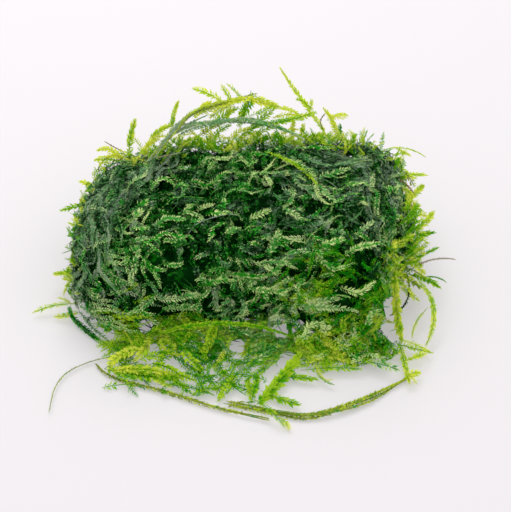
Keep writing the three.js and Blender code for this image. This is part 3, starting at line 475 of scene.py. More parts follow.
# Sprigs of the spray behind the rim: colour, style, size, and their places in mm.
SPRIGS = (
    ("lime", "fern", 1.15, (-13.5, 36, 27.5), (-9.5, 37, 30.5), (-5.5, 37, 31), (0, 37, 32.5), (5, 37, 32.5)),
    ("lime", "plume", 0.9, (-12, 36.5, 28), (-7, 37, 30), (-2, 37, 31.5)),
    ("green", "plume", 0.9, (-9, 35, 24.5), (-5, 37, 27.5), (-1, 37, 30)),
    ("green", "plume", 1.0, (-1, 36, 24), (0, 38, 28.5), (1.5, 38, 31)),
    ("grey", "rope", 1, (-25, 18, 25.5), (-21, 24.5, 27), (-18, 30, 28.5), (-14, 34, 29.5), (-10, 36, 30.5)),
    ("grey", "rope", 0.9, (-23, 18.5, 26.5), (-20, 25.5, 28), (-16.5, 31, 28.5), (-12.5, 35, 30)),
    ("grey", "rope", 1.0, (-22, 24, 25.5), (-18.5, 28, 27.5), (-14.5, 32, 28), (-9, 34.5, 29.5)),
    ("green", "plume", 0.9, (-8, 33, 22.5), (-6, 33.5, 25), (-3, 34, 26.5)),
    ("lime", "plume", 0.9, (-4, 33, 22), (-1, 33.5, 24.5), (2.5, 34, 25.5)),
    ("green", "plume", 0.9, (3, 33, 22.5), (5.5, 33.5, 25), (9, 34, 26)),
    ("lime", "plume", 0.9, (9, 33, 22.5), (11.5, 33.5, 24.5), (15, 34, 25)),
    ("olive", "plume", 0.8, (-12, 33, 23), (-9, 33.5, 25.5), (-5, 34, 27)),
    ("lime", "plume", 0.8, (-20, 31, 22), (-17, 32, 24), (-13.5, 33, 24.5)),
    ("lime", "plume", 0.8, (-5, 36, 25.5), (-3.5, 37, 28.5), (-3, 37.5, 30.5)),
    ("dark", "plume", 0.9, (-0.5, 33, 23.5), (3.5, 34, 26), (6.5, 34, 26.5)),
    ("lime", "plume", 0.9, (-26, 33, 20), (-23.5, 35, 22.5), (-21, 35, 25), (-18.5, 35, 26.5)),
    ("yellow", "tip", 0.9, (-28, 31, 19), (-25, 33, 21), (-22.5, 33, 22.5)),
    ("yellow", "plume", 0.7, (-27, 31, 19.5), (-23.5, 33, 23), (-20, 33, 23.5)),
    ("lime", "tip", 0.8, (-11.5, 32, 22), (-12.5, 33, 23.5), (-14.5, 33, 25.5)),
    ("lime", "plume", 0.7, (-7.5, 32, 22), (-9.5, 34, 24.5), (-11.5, 34, 25)),
    ("yellow", "tip", 0.9, (-32, 26.5, 20), (-35.5, 27, 23.5), (-39, 27, 23)),
    ("lime", "plume", 0.7, (-30, 27, 21), (-33, 28, 21.5), (-36.5, 27.5, 20.5)),
    ("lime", "plume", 0.7, (-27, 29.5, 22), (-29, 31, 24), (-31, 32, 24.5)),
    ("yellow", "tip", 0.8, (-31, 25, 21.5), (-34, 25.5, 22.5), (-36.5, 25, 22)),
    ("lime", "tip", 0.8, (-34, 24, 20), (-36.5, 24, 21.5), (-38.5, 24, 20)),
    ("yellow", "tip", 0.8, (-39.5, 17, 9), (-42, 15, 9), (-43.5, 11, 8)),
    ("olive", "plume", 0.7, (-40.5, 11, 8), (-43, 9, 8.5), (-44.5, 5, 7)),
    ("yellow", "tip", 0.7, (-41, 6, 7.5), (-43.5, 4, 8), (-44.5, 0, 7)),
    ("olive", "plume", 0.7, (-41, 1, 7), (-44, -1, 7), (-45, -5, 6)),
    ("lime", "tip", 0.7, (-41, -6, 6), (-44, -7.5, 6.5), (-45.5, -11, 5)),
    ("yellow", "tip", 0.8, (-36, 22, 14), (-39, 22, 15), (-41, 20, 13.5)),
    ("yellow", "fern", 0.9, (2, 37, 32.5), (6.5, 37, 31), (9.5, 37, 30)),
    ("green", "plume", 1.05, (2, 34, 26), (6, 35, 28.5), (9, 35, 31.5)),
    ("green", "plume", 1.0, (8, 33, 26.5), (12, 34, 28), (14.5, 34, 28.5), (20, 34, 30.5)),
    ("lime", "tip", 0.7, (9, 36, 30.5), (12, 36, 30), (15, 36, 29)),
    ("lime", "plume", 0.8, (8, 35, 28), (12.5, 36, 28.5), (15, 36, 28)),
    ("yellow", "tip", 0.9, (13.5, 33, 23), (13.5, 34, 25.5), (14, 34, 27.5)),
    ("yellow", "tip", 0.8, (16, 33, 23), (16, 34, 24.5), (16.5, 34, 27)),
    ("yellow", "fern", 0.8, (25.5, 33, 23), (24.5, 34, 26.5), (23.5, 34, 29), (21.5, 34, 32)),
    ("yellow", "plume", 0.7, (23.5, 34, 29), (28, 34, 29)),
    ("lime", "plume", 0.8, (-2.5, 31.5, 21), (1.5, 33, 24), (5.5, 33, 24.5)),
    ("lime", "plume", 0.8, (3, 31.5, 21.5), (7.5, 33, 23.5), (11.5, 33, 23)),
    ("yellow", "plume", 0.8, (10, 31.5, 21.5), (13.5, 33, 23.5), (17.5, 33, 23)),
    ("lime", "plume", 0.8, (17, 31.5, 22), (20.5, 33, 24), (23.5, 33, 23.5)),
    ("yellow", "plume", 0.7, (-11.5, 31.5, 21), (-7.5, 33, 23), (-3.5, 33, 22.5)),
    ("yellow", "plume", 0.7, (-17, 31.5, 21), (-13.5, 33, 22.5), (-10, 33, 22)),
    ("lime", "plume", 0.8, (39, -6, 9), (42.5, -8, 8), (46.5, -9, 5.5)),
    ("lime", "plume", 0.85, (40, -7.5, 8), (42, -10, 5.5), (45.5, -11, 3)),
    ("lime", "plume", 0.8, (40, -2, 11), (44, -4, 10), (47, -6, 7.5)),
    ("yellow", "plume", 0.8, (41, 10, 13), (45.5, 10.5, 14), (49, 11.5, 13)),
    ("lime", "plume", 0.9, (41, 7, 12), (45, 6, 13), (48, 4, 12)),
    ("lime", "plume", 0.8, (41, 5, 11), (45, 3.5, 12.5), (48.5, 1, 12)),
    ("lime", "plume", 0.8, (41, 3, 10), (45, 1, 11), (47, -2, 11)),
    ("olive", "plume", 0.8, (40.5, 0, 9), (44, -2.5, 10), (46.5, -5, 9.5)),
    ("olive", "plume", 0.8, (40, -3, 8), (44, -5.5, 8.5), (47, -8, 8)),
    ("olive", "plume", 0.8, (39.5, -5, 7), (43, -8, 7.5), (45.5, -11, 7)),
    ("lime", "plume", 0.7, (38.5, -8, 8), (41.5, -11, 8), (43.5, -14, 7)),
    ("olive", "plume", 0.7, (41, 24, 20), (44, 22, 18.5), (46, 19, 16.5)),
    ("yellow", "plume", 0.7, (42, 19, 17), (44.5, 17, 16), (45.5, 13.5, 14)),
    ("yellow", "tip", 0.8, (41.5, 22, 18), (44.5, 22.5, 17.5), (47, 24, 16)),
    ("brown", "thread", 0.8, (41, 20, 19), (43.5, 17, 19), (45.5, 14.5, 17.5)),
    ("brown", "thread", 0.8, (41, 15, 16.5), (43.5, 13, 17), (45, 10, 16)),
    ("brown", "thread", 0.9, (40, 10, 17.5), (43, 8, 17.5), (44.5, 5, 16.5)),
    ("brown", "thread", 0.8, (-19, 33.5, 25.5), (-15.5, 34.5, 26.5), (-12, 34, 26)),
    ("brown", "thread", 0.8, (22, 34, 24.5), (21, 35, 27), (22.5, 35.5, 29.5)),
    ("dark", "plume", 0.6, (-41.5, -14.5, 3), (-37, -20, 1.5), (-33.5, -24, 1.5), (-30.5, -26.5, 1.5)),
)
# Small shoots round the clump: colour, style, size, and an arc as the named shoots have.
SMALL_SHOOTS = (
    ("lime", "tip", 0.7, (18, 38.5, 28), 75, 60, 3.5, 120, 10),
    ("olive", "thread", 0.8, (-35, 28.5, 20), -175, -50, 7, 0, -80),
    ("lime", "tip", 0.9, (-42, -4.5, 4), 155, -10, 5.5, 10, 20),
    ("dark", "thread", 0.7, (-42, 5.5, 8), -170, -20, 6, -20, 0),
    ("lime", "tip", 0.7, (-43.5, -13, 4), 180, 30, 4, 0, -50),
    ("lime", "tip", 0.8, (-41.5, -14, 2), -175, -10, 6.5, -30, 0),
    ("lime", "tip", 0.8, (-25, 33, 23), 15, 25, 7, -10, -30),
    ("dark", "tip", 0.7, (27, 34, 23), -175, 80, 4, 0, 30),
    ("lime", "tip", 0.7, (41.5, 32.5, 20), 5, -35, 5.5, 0, 0),
    ("lime", "tip", 0.8, (43, 23, 16), 15, -60, 6, 0, 30),
    ("dark", "thread", 0.8, (47.5, -5, 6), 0, -20, 6, -10, -50),
    ("lime", "tip", 0.9, (40, -31.5, 1.5), 25, 0, 5.5, 20, -30),
    ("lime", "tip", 0.9, (40.5, -37, 1), 30, 5, 4, 30, -30),
    ("green", "tip", 0.9, (3.5, -43, 1), 105, 5, 6.5, -70, -10),
    ("lime", "tip", 0.8, (-20, -27, 5), -25, -15, 9, 120, 40),
)
# Steps of the unrolled surface's tables from the middle to the foot, and round the clump.
LENGTHWISE, AROUND = 141, 181
# Half the unrolled surface's width and depth in mm, and the steps of an even scatter over it.
HALF_U, HALF_V = 72, 62
SCATTER_STEPS = (0.7549, 0.5698)
# Scattered shoots start within this share of the way to the foot. Between the other two, strands turn round.
SCATTER_SHARE = 0.97
TURNING_SHARES = (0.62, 0.85)
# Softens the change from one row of a table to the next, in mm.
SOFTNESS = 5
# How far a matted shoot curls, in radians, and how well it follows the flow.
CURL, FOLLOW = 1.6, 0.3
# Distance between a path's points in mm, and how far a named shoot's foot is rooted in what carries it.
STEP, ROOT = 0.9, 2.5
# Least height above the surface below, in mm, of a shoot's path on the clump and off it, a leaf and a stem.
LAID_HEIGHT, PATH_HEIGHT, LEAF_HEIGHT, STEM_HEIGHT = 0.45, 0.5, 0.06, 0.05
GOLDEN_ANGLE = 2.4


# Arrays

def unit(vectors):
    """Each vector divided by its length."""
    return vectors / np.maximum(np.linalg.norm(vectors, axis=-1, keepdims=True), 1e-9)


def smoothstep(value, low, high):
    """0 below low, 1 above high and 3t squared less 2t cubed between them."""
    t = np.clip((value - low) / (high - low), 0, 1)
    return t * t * (3 - 2 * t)


def through(rows, place, closed=False):
    """The smooth curve through a table's rows at fractional places: Catmull-Rom, closed or with held ends."""
    index = np.floor(place).astype(int)
    if not closed:
        index = np.clip(index, 0, len(rows) - 2)
    t = place - index
    if rows.ndim > 1:
        t = t[..., None]
    steps = [index + step for step in (-1, 0, 1, 2)]
    if closed:
        a, b, c, d = (rows[step % len(rows)] for step in steps)
    else:
        a, b, c, d = (rows[np.clip(step, 0, len(rows) - 1)] for step in steps)
    return b + 0.5 * t * (c - a + t * (2 * a - 5 * b + 4 * c - d + t * (3 * (b - c) + d - a)))


def ripple(x, y, length, seed):
    """A smooth uneven field from about -1 to 1: five sine waves of like length, each turned by a golden
    angle."""
    total = 0
    for wave in range(5):
        turn = GOLDEN_ANGLE * wave + seed
        along = (x * math.cos(turn) + y * math.sin(turn)) * 2 * math.pi / (length * (1 + 0.13 * wave))
        total = total + np.sin(along + 1.7 * seed + 2.1 * wave)
    return total / 2.5


# The clump's surface

def reach_at(angle):
    """How far the edge lies from the middle at an angle: the closed smooth curve through MAT_REACH."""
    return through(MAT_REACH, angle / (2 * math.pi) % 1 * len(MAT_REACH), closed=True)


def relief(angle, distance):
    """Height of the topmost strand: rows of ridges, 1 - 2 |sin| across, that sway and fade in and out."""
    heights = []
    for heading, pitch, height, sway in STRANDS:
        turn = angle - math.radians(heading)
        along = distance * np.cos(turn)
        across = distance * np.sin(turn) + sway * np.sin(along / pitch)
        ridge = 1 - 2 * np.abs(np.sin(math.pi * across / pitch))
        heights.append(height * ridge - STRAND_FADE * (1 + np.sin(along * 2 / pitch)))
    return np.maximum.reduce(heights)


def hollow_at(x, y):
    """How far the hollows lower the surface, each a bell curve: its depth by exp(-2 (distance / width)^2)."""
    return sum(
        depth * np.exp(-2 * ((x - middle_x) ** 2 + (y - middle_y) ** 2) / width ** 2)
        for middle_x, middle_y, width, depth in HOLLOWS
    )


def mat_point(angle, share, roughness=1.0):
    """A point of the surface: its section, share 0 at the middle of the top to 1 at the foot, turned to
    angle. The section is the wall's, or towards the front the toe's, and strands stand out of it by
    roughness."""
    toe = smoothstep(-np.sin(angle), *TOE_SPREAD)[..., None]
    place = share * (len(WALL_SECTION) - 1)
    section = through(WALL_SECTION, place) * (1 - toe) + through(TOE_SECTION, place) * toe
    out, up = section[..., 0], section[..., 1]
    reach = reach_at(angle)
    x, y = reach * out * np.cos(angle), reach * out * np.sin(angle)
    level = out ** 4
    away = unit(np.stack([np.cos(angle) * level, np.sin(angle) * level, up - 0.3], -1))
    fade = smoothstep(up, 0, 0.15)
    height = relief(angle, share * (reach + MAT_THICKNESS)) * fade * roughness
    swell = SWELL_HEIGHT * np.sin((x - SWELL_START) * 2 * math.pi / SWELL_LENGTH) * up ** 2
    sunk = hollow_at(x, y) * fade
    return np.stack([x, y, MAT_THICKNESS * up + swell - sunk], -1) + away * height[..., None]


def unrolled():
    """Tables for the unrolled surface: its length from the middle to the foot round the clump, and the share
    of the section at even steps of that length, found by adding up the plain section's steps."""
    angles = np.linspace(-math.pi, math.pi, AROUND)
    shares = np.linspace(0, 1, LENGTHWISE)
    plain = mat_point(*np.meshgrid(angles, shares, indexing="ij"), roughness=0)
    steps = np.linalg.norm(np.diff(plain, axis=1), axis=-1)
    run = np.concatenate([np.zeros((AROUND, 1)), np.cumsum(steps, 1)], 1)
    even = [np.interp(np.linspace(0, row[-1], LENGTHWISE), row, shares) for row in run]
    return angles, run[:, -1], np.array(even)


ANGLES, FOOT_LENGTHS, EVEN_SHARES = unrolled()


def foot_distance(angle):
    """The unrolled distance from the middle of the top to the foot at an angle, read from the table."""
    return np.interp(angle, ANGLES, FOOT_LENGTHS)


def on_mat(u, v, roughness=1.0):
    """The point of the clump at a place on its unrolled surface: bilinear in the table of shares."""
    angle = np.arctan2(v, u)
    row = (angle + math.pi) / (2 * math.pi) * (AROUND - 1)
    column = np.clip(np.hypot(u, v) / foot_distance(angle), 0, 1) * (LENGTHWISE - 1)
    i = np.clip(row.astype(int), 0, AROUND - 2)
    j = np.clip(column.astype(int), 0, LENGTHWISE - 2)
    s, t = row - i, column - j
    share = (1 - s) * ((1 - t) * EVEN_SHARES[i, j] + t * EVEN_SHARES[i, j + 1])
    share += s * ((1 - t) * EVEN_SHARES[i + 1, j] + t * EVEN_SHARES[i + 1, j + 1])
    return mat_point(angle, share, roughness)


def mat_normal(u, v, step=0.6):
    """The way out of the surface: the cross product of its slopes along both unrolled directions."""
    along = on_mat(u + step, v, 0.5) - on_mat(u - step, v, 0.5)
    across = on_mat(u, v + step, 0.5) - on_mat(u, v - step, 0.5)
    return unit(np.cross(along, across))


def nearby(table, u, v):
    """Each row's weight at places, which falls with the fourth power of its distance, and the rows."""
    rows = np.array(table, float)
    square = (u[..., None] - rows[:, 0]) ** 2 + (v[..., None] - rows[:, 1]) ** 2 + SOFTNESS ** 2
    weight = square ** -2
    return weight / weight.sum(-1, keepdims=True), rows


def flow(u, v):
    """The strands' heading in radians. Doubled angles are averaged, so that opposite headings agree. Towards
    the foot the strands turn round the clump."""
    weight, rows = nearby(FLOW, u, v)
    doubled = 2 * np.radians(rows[:, 2])
    cosine, sine = weight @ np.cos(doubled), weight @ np.sin(doubled)
    angle = np.arctan2(v, u)
    rim = smoothstep(np.hypot(u, v) / foot_distance(angle), *TURNING_SHARES)
    around = 2 * (angle + math.pi / 2)
    cosine = cosine * (1 - rim) + np.cos(around) * rim
    sine = sine * (1 - rim) + np.sin(around) * rim
    return 0.5 * np.arctan2(sine, cosine)


def tint(u, v):
    """How light the moss is at places, and how much grey sheen is painted on it."""
    weight, rows = nearby(TINTS, u, v)
    return weight @ rows[:, 2], weight @ rows[:, 3]


def pits(u, v):
    """1 away from the dark pits, and least in the middle of one: a bell curve at each."""
    open_share = np.ones_like(u)
    for middle_u, middle_v, width in PITS:
        square = (u - middle_u) ** 2 + (v - middle_v) ** 2
        open_share = open_share * (1 - PIT_SHARE * np.exp(-square / width ** 2))
    return open_share


def scatter(rng, count, where=None):
    """Places spread evenly over the real surface by a sequence that leaves no bare patches. A place is kept
    by chance, by how much the surface narrows there and by the share that where gives it."""
    kept_u, kept_v = [], []
    first = rng.random(2)
    number = 0
    while sum(map(len, kept_u)) < count:
        number = number + np.arange(1, 4 * count + 1)
        u = 2 * HALF_U * ((first[0] + SCATTER_STEPS[0] * number) % 1) - HALF_U
        v = 2 * HALF_V * ((first[1] + SCATTER_STEPS[1] * number) % 1) - HALF_V
        number = number[-1]
        angle, distance = np.arctan2(v, u), np.hypot(u, v)
        share = distance / foot_distance(angle)
        radius = np.hypot(*np.moveaxis(on_mat(u, v, 0)[..., :2], -1, 0))
        chance = np.minimum(radius / np.maximum(distance, 1e-3), 1)
        if where is not None:
            chance = chance * where(u, v)
        keep = (share < SCATTER_SHARE) & (rng.random(len(u)) < chance)
        kept_u.append(u[keep])
        kept_v.append(v[keep])
    return np.concatenate(kept_u)[:count], np.concatenate(kept_v)[:count]


# Shoots as paths

def creep(rng, u, v, heading, length, steps):
    """Paths on the unrolled surface: even steps whose heading curls, and leans towards the flow."""
    curl = rng.normal(0, CURL, len(u))
    path_u, path_v = [u], [v]
    for _ in range(steps):
        lean = flow(path_u[-1], path_v[-1])
        turned = np.remainder(lean - heading + math.pi / 2, math.pi) - math.pi / 2
        heading = heading + FOLLOW * turned / steps * 2 + curl / steps
        path_u.append(path_u[-1] + np.cos(heading) * length / steps)
        path_v.append(path_v[-1] + np.sin(heading) * length / steps)
    return np.stack(path_u, 1), np.stack(path_v, 1)


def lay(rng, u, v, low, high, root=3.0, tip=1.0):
    """Raises paths over the surface: each at its own height from low to high, with its root that much deeper
    and its tip that much higher, along the surface's normal, and kept off the surface below."""
    share = np.linspace(0, 1, u.shape[1])
    height = rng.uniform(low, high, len(u))[:, None]
    height = height - root * smoothstep(share, 0.25, 0)
    height = height + rng.uniform(0, tip, len(u))[:, None] * share ** 3
    normals = mat_normal(u, v)
    points = on_mat(u, v) + normals * height[..., None]
    points[..., 2] = np.maximum(points[..., 2], LAID_HEIGHT)
    return points, normals


def arc(foot, heading, rise, length, turn, droop, back=0.0):
    """A shoot's points: even steps whose heading and rise change evenly, after a straight root."""
    steps = max(4, round(length / STEP))
    share = (np.arange(steps) + 0.5) / steps - 0.5
    yaw, pitch = np.radians(heading + turn * share), np.radians(rise + droop * share)
    ways = np.stack([np.cos(yaw) * np.cos(pitch), np.sin(yaw) * np.cos(pitch), np.sin(pitch)], -1)
    points = np.array(foot) + np.concatenate([np.zeros((1, 3)), np.cumsum(ways * length / steps, 0)])
    if back:
        points = np.concatenate([points[:1] - ways[:1] * back, points])
    points[:, 2] = np.maximum(points[:, 2], PATH_HEIGHT)
    return points


def along(points, step=STEP):
    """The smooth curve through a few points, resampled at about even steps."""
    points = np.array(points, float)
    fine = through(points, np.linspace(0, len(points) - 1, 40 * len(points)))
    run = np.concatenate([[0], np.cumsum(np.linalg.norm(np.diff(fine, axis=0), axis=1))])
    even = np.linspace(0, run[-1], max(3, round(run[-1] / step)) + 1)
    return np.stack([np.interp(even, run, column) for column in fine.T], 1)


def in_gap(points):
    """True where a point lies in one of the gaps: nearer to its leaning axis than its half width."""
    found = np.zeros(points.shape[:-1], bool)
    for x, y, width in GAPS:
        to = points - (x, y, 0)
        off = to - (to @ GAP_LEAN)[..., None] * GAP_LEAN
        found |= np.linalg.norm(off, axis=-1) < width
    return found


# Meshes

class Growth:
    """Leaves and stems of one piece, collected as arrays of corners, triangles, map places and tints."""

    def __init__(self):
        self.points, self.triangles, self.places, self.cells = [], [], [], []
        self.tones, self.greys, self.smooth = [], [], []
        self.count = self.used = 0

    def add(self, points, triangles, places, cells, tones, greys, smooth):
        """Keeps some closed shapes. places are each triangle corner's place in its own square of the map."""
        self.points.append(points)
        self.triangles.append(triangles + self.count)
        self.places.append(places)
        self.cells.append(cells + self.used)
        self.tones.append(tones)
        self.greys.append(greys)
        self.smooth.append(np.full(len(triangles), smooth))
        self.count += len(points)
        self.used += cells.max() + 1

    def leaves(self, form, roots, ways, faces, lengths, widths, tones, greys):
        """A leaf at each root: its form's corners along its way, across it and up its face."""
        corners, triangles = form
        sides = unit(np.cross(faces, ways))
        faces = np.cross(ways, sides)
        scale = np.stack([lengths, widths, widths], 1)
        local = corners[None] * scale[:, None]
        points = roots[:, None] + np.einsum("nca,nax->ncx", local, np.stack([ways, sides, faces], 1))
        points[..., 2] += np.maximum(LEAF_HEIGHT - points[..., 2].min(1, keepdims=True), 0)
        number = np.arange(len(roots))
        shapes = (triangles[None] + number[:, None, None] * len(corners)).reshape(-1, 3)
        flat = np.stack([corners[:, 0], corners[:, 1] + 0.5], 1)
        places = np.tile(flat[triangles].reshape(-1, 2), (len(roots), 1))
        light = LEAF_LIGHT * (corners[:, 0] - LEAF_MIDDLE)
        self.add(
            points.reshape(-1, 3), shapes, places, np.repeat(number, len(triangles)),
            (tones[:, None] + light).ravel(), np.repeat(greys, len(corners)), False,
        )

    def tubes(self, paths, widths, tones, greys, sides=3):
        """A round stem along each path: a ring of corners at each point, narrow and closed at both ends."""
        number, rings = paths.shape[:2]
        ways = unit(np.gradient(paths, axis=1))
        across = unit(np.cross(ways, (0.3, 0.2, 1.0)))
        upward = np.cross(across, ways)
        turn = np.arange(sides) * 2 * math.pi / sides
        taper = np.ones(rings)
        taper[[0, -1]] = 0.3
        size = 0.5 * widths[:, None] * taper
        ring = across[:, :, None] * np.cos(turn)[:, None] + upward[:, :, None] * np.sin(turn)[:, None]
        points = paths[:, :, None] + ring * size[:, :, None, None]
        points[..., 2] = np.maximum(points[..., 2], STEM_HEIGHT + 0.02 * (turn / math.pi))
        i, j = np.meshgrid(np.arange(rings - 1), np.arange(sides), indexing="ij")
        a, b = i * sides + j, i * sides + (j + 1) % sides
        quads = np.stack([a, a + sides, b + sides, a, b + sides, b], -1).reshape(-1, 3)
        fan = np.arange(1, sides - 1)
        start = np.stack([0 * fan, fan, fan + 1], 1)
        end = np.stack([0 * fan, fan + 1, fan], 1) + (rings - 1) * sides
        one = np.concatenate([quads, start, end])
        x, y = i / (rings - 1), j / sides
        step = 1 / (rings - 1)
        wide = 1 / sides
        corner = [(0, 0), (step, 0), (step, wide), (0, 0), (step, wide), (0, wide)]
        place = np.stack([np.stack([x + dx, y + dy], -1) for dx, dy in corner], -2).reshape(-1, 2)
        start_places = [(0, 0.3), (0.02, 0.5), (0, 0.7)] * (sides - 2)
        end_places = [(1, 0.3), (0.98, 0.5), (1, 0.7)] * (sides - 2)
        places = np.tile(np.concatenate([place, start_places, end_places]), (number, 1))
        triangles = (one[None] + np.arange(number)[:, None, None] * rings * sides).reshape(-1, 3)
        self.add(
            points.reshape(-1, 3), triangles, places, np.repeat(np.arange(number), len(one)),
            np.repeat(tones, rings * sides), np.repeat(greys, rings * sides), True,
        )

    def shoots(self, rng, points, normals, style, tones, greys, size=1.0, roll=0.6, gaps=False):
        """Leafy shoots along paths. Leaves stand in two rows, one on each side of the stem, spread from it by
        an angle that closes towards the tip, and shorten towards both ends. With gaps, what lies in a gap of
        the thin front is left out."""
        if gaps:
            clear = in_gap(points).mean(1) < 0.25
            points, normals, tones, greys = points[clear], normals[clear], tones[clear], greys[clear]
        number, rings = points.shape[:2]
        size = size * rng.uniform(0.75, 1.25, number)
        lengths = np.linalg.norm(np.diff(points, axis=1), axis=-1).sum(1)
        ways = unit(np.gradient(points, axis=1))
        sides = unit(np.cross(ways, normals))
        turn = rng.normal(0, roll, number)[:, None, None]
        normals = np.cross(sides, ways) * np.cos(turn) + sides * np.sin(turn)
        most = int(lengths.max() / style["pitch"])
        rank = np.arange(most)[None, :, None]
        left = np.array([1, -1])[None, None, :]
        share = (rank + 0.5 + 0.25 * left) * style["pitch"] / lengths[:, None, None]
        share = share + rng.normal(0, 0.12, share.shape) * style["pitch"] / lengths[:, None, None]
        on_shoot = (share > 0.02) & (share < 1)
        shoot, _, side = np.nonzero(on_shoot)
        t = share[on_shoot]
        left = 1 - 2 * side
        place = t * (rings - 1)
        ring = np.minimum(place.astype(int), rings - 2)
        part = (place - ring)[:, None]

        def at(values):
            return values[shoot, ring] * (1 - part) + values[shoot, ring + 1] * part

        way, normal = unit(at(ways)), unit(at(normals))
        across = unit(np.cross(way, normal)) * left[:, None]
        spread = np.radians(style["spread"] * (1 - 0.55 * t ** 3) + rng.normal(0, 9, len(t)))[:, None]
        lift = rng.normal(0.12, 0.2, len(t))[:, None]
        leaf_way = unit(way * np.cos(spread) + across * np.sin(spread) + normal * lift)
        face = normal + across * rng.normal(0.15, 0.35, len(t))[:, None]
        roots = at(points) + across * style["stem"] * 0.3
        grown = (0.72 + 0.28 * smoothstep(t, 0, 0.25)) * (1 - 0.5 * smoothstep(t, 0.7, 1))
        long = style["leaf"] * size[shoot] * grown * rng.uniform(0.82, 1.15, len(t))
        wide = style["width"] * size[shoot] * grown * rng.uniform(0.85, 1.15, len(t))
        tone = tones[shoot] + FRESH_TIP * (t ** 3 - 0.2) + rng.normal(0, 0.16, len(t))
        grey = greys[shoot] * (1 - 0.6 * t ** 4) + rng.normal(0, 0.06, len(t))
        keep = ~in_gap(roots + leaf_way * long[:, None] * 0.5) if gaps else np.ones(len(t), bool)
        grown_leaves = roots, leaf_way, face, long, wide, tone, grey
        self.leaves(style["form"], *(values[keep] for values in grown_leaves))
        self.tubes(points, style["stem"] * size, tones - style["bark"], greys)

    def make(self, name, material, mapped=True):
        """The piece: one mesh with its tints, and a map in which each leaf and stem has its own square."""
        points = np.concatenate(self.points) * MM
        triangles = np.concatenate(self.triangles)
        mesh = bpy.data.meshes.new(name)
        mesh.vertices.add(len(points))
        mesh.vertices.foreach_set("co", points.astype(np.float32).ravel())
        mesh.loops.add(triangles.size)
        mesh.loops.foreach_set("vertex_index", triangles.astype(np.int32).ravel())
        mesh.polygons.add(len(triangles))
        mesh.polygons.foreach_set("loop_start", np.arange(0, triangles.size, 3, dtype=np.int32))
        mesh.polygons.foreach_set("use_smooth", np.concatenate(self.smooth))
        if mapped:
            cells = np.repeat(np.concatenate(self.cells), 3)
            row = math.ceil(math.sqrt(self.used))
            corner = np.stack([cells % row, cells // row], 1)
            places = (corner + 0.1 + 0.8 * np.clip(np.concatenate(self.places), 0, 1)) / row
            mesh.uv_layers.new(name="OFBake").data.foreach_set("uv", places.astype(np.float32).ravel())
        for title, values in (("tone", self.tones), ("grey", self.greys)):
            attribute = mesh.attributes.new(title, "FLOAT", "POINT")
            attribute.data.foreach_set("value", np.clip(np.concatenate(values), 0, 1).astype(np.float32))
        mesh.update(calc_edges=True)
        mesh.materials.append(material)
        piece = bpy.data.objects.new(name, mesh)
        bpy.context.scene.collection.objects.link(piece)
        return piece


def settle(growth, name, kind, *nodes, mapped=True):
    """Makes a growth's piece, which rides on the clump, has its kind's finish and stands for its solids."""
    piece = growth.make(name, material_for(kind), mapped)
    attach(piece, "root")
    if nodes:
        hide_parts(*nodes)


# Materials

def tint_group():
    """Colour, roughness and fine height of moss from its tone and its painted grey sheen, mottled at the size
    of cells.
    """
    found = bpy.data.node_groups.get("moss_tint")
    if found:
        return found
    group = bpy.data.node_groups.new("moss_tint", "ShaderNodeTree")
    for side, kind, titles in (
        ("INPUT", "NodeSocketColor", ("Deep", "Green", "Fresh", "Sheen")),
        ("INPUT", "NodeSocketFloat", ("Wet",)),
        ("OUTPUT", "NodeSocketColor", ("Colour",)),
        ("OUTPUT", "NodeSocketFloat", ("Roughness", "Height")),
    ):
        for title in titles:
            group.interface.new_socket(title, in_out=side, socket_type=kind)
    nodes, links = group.nodes, group.links
    given = nodes.new("NodeGroupInput")
    out = nodes.new("NodeGroupOutput")
    where = nodes.new("ShaderNodeTexCoord")

    def noise(scale, detail):
        node = nodes.new("ShaderNodeTexNoise")
        node.inputs["Scale"].default_value = scale
        node.inputs["Detail"].default_value = detail
        links.new(where.outputs["Object"], node.inputs["Vector"])
        return node.outputs["Fac"]

    def attribute(name):
        node = nodes.new("ShaderNodeAttribute")
        node.attribute_name = name
        return node.outputs["Fac"]

    def maths(operation, first, second):
        node = nodes.new("ShaderNodeMath")
        node.operation = operation
        for socket, value in zip(node.inputs, (first, second)):
            if isinstance(value, (int, float)):
                socket.default_value = value
            else:
                links.new(value, socket)
        return node.outputs[0]

    def ranged(value, low, high, to_low=0.0, to_high=1.0):
        node = nodes.new("ShaderNodeMapRange")
        node.interpolation_type = "SMOOTHSTEP"
        links.new(value, node.inputs["Value"])
        for name, number in (("From Min", low), ("From Max", high), ("To Min", to_low), ("To Max", to_high)):
            node.inputs[name].default_value = number
        return node.outputs["Result"]

    def mixed(share, first, second):
        node = nodes.new("ShaderNodeMix")
        node.data_type = "RGBA"
        links.new(share, node.inputs["Factor"])
        links.new(first, node.inputs["A"])
        links.new(second, node.inputs["B"])
        return node.outputs["Result"]

    mottle, patches = noise(900, 3), noise(240, 2)
    uneven = maths("MULTIPLY", maths("SUBTRACT", mottle, 0.5), 0.8)
    tone = maths("ADD", attribute("tone"), uneven)
    tone = maths("ADD", tone, maths("MULTIPLY", maths("SUBTRACT", patches, 0.5), 0.9))
    colour = mixed(ranged(tone, 0.05, 0.55), given.outputs["Deep"], given.outputs["Green"])
    colour = mixed(ranged(tone, 0.5, 0.95), colour, given.outputs["Fresh"])
    # Painted wet sheen: the sheen colour is mixed over the moss by its own attribute, in patches, and turns
    # to the deep colour where the tone is low.
    grey = maths("MULTIPLY", attribute("grey"), ranged(patches, 0.3, 0.6, 0.5, 1.0))
    sheen_colour = mixed(ranged(tone, -0.05, 0.5), given.outputs["Deep"], given.outputs["Sheen"])
    links.new(mixed(grey, colour, sheen_colour), out.inputs["Colour"])
    rough = maths("ADD", given.outputs["Wet"], maths("MULTIPLY", mottle, 0.25))
    links.new(rough, out.inputs["Roughness"])
    links.new(mottle, out.inputs["Height"])
    return group


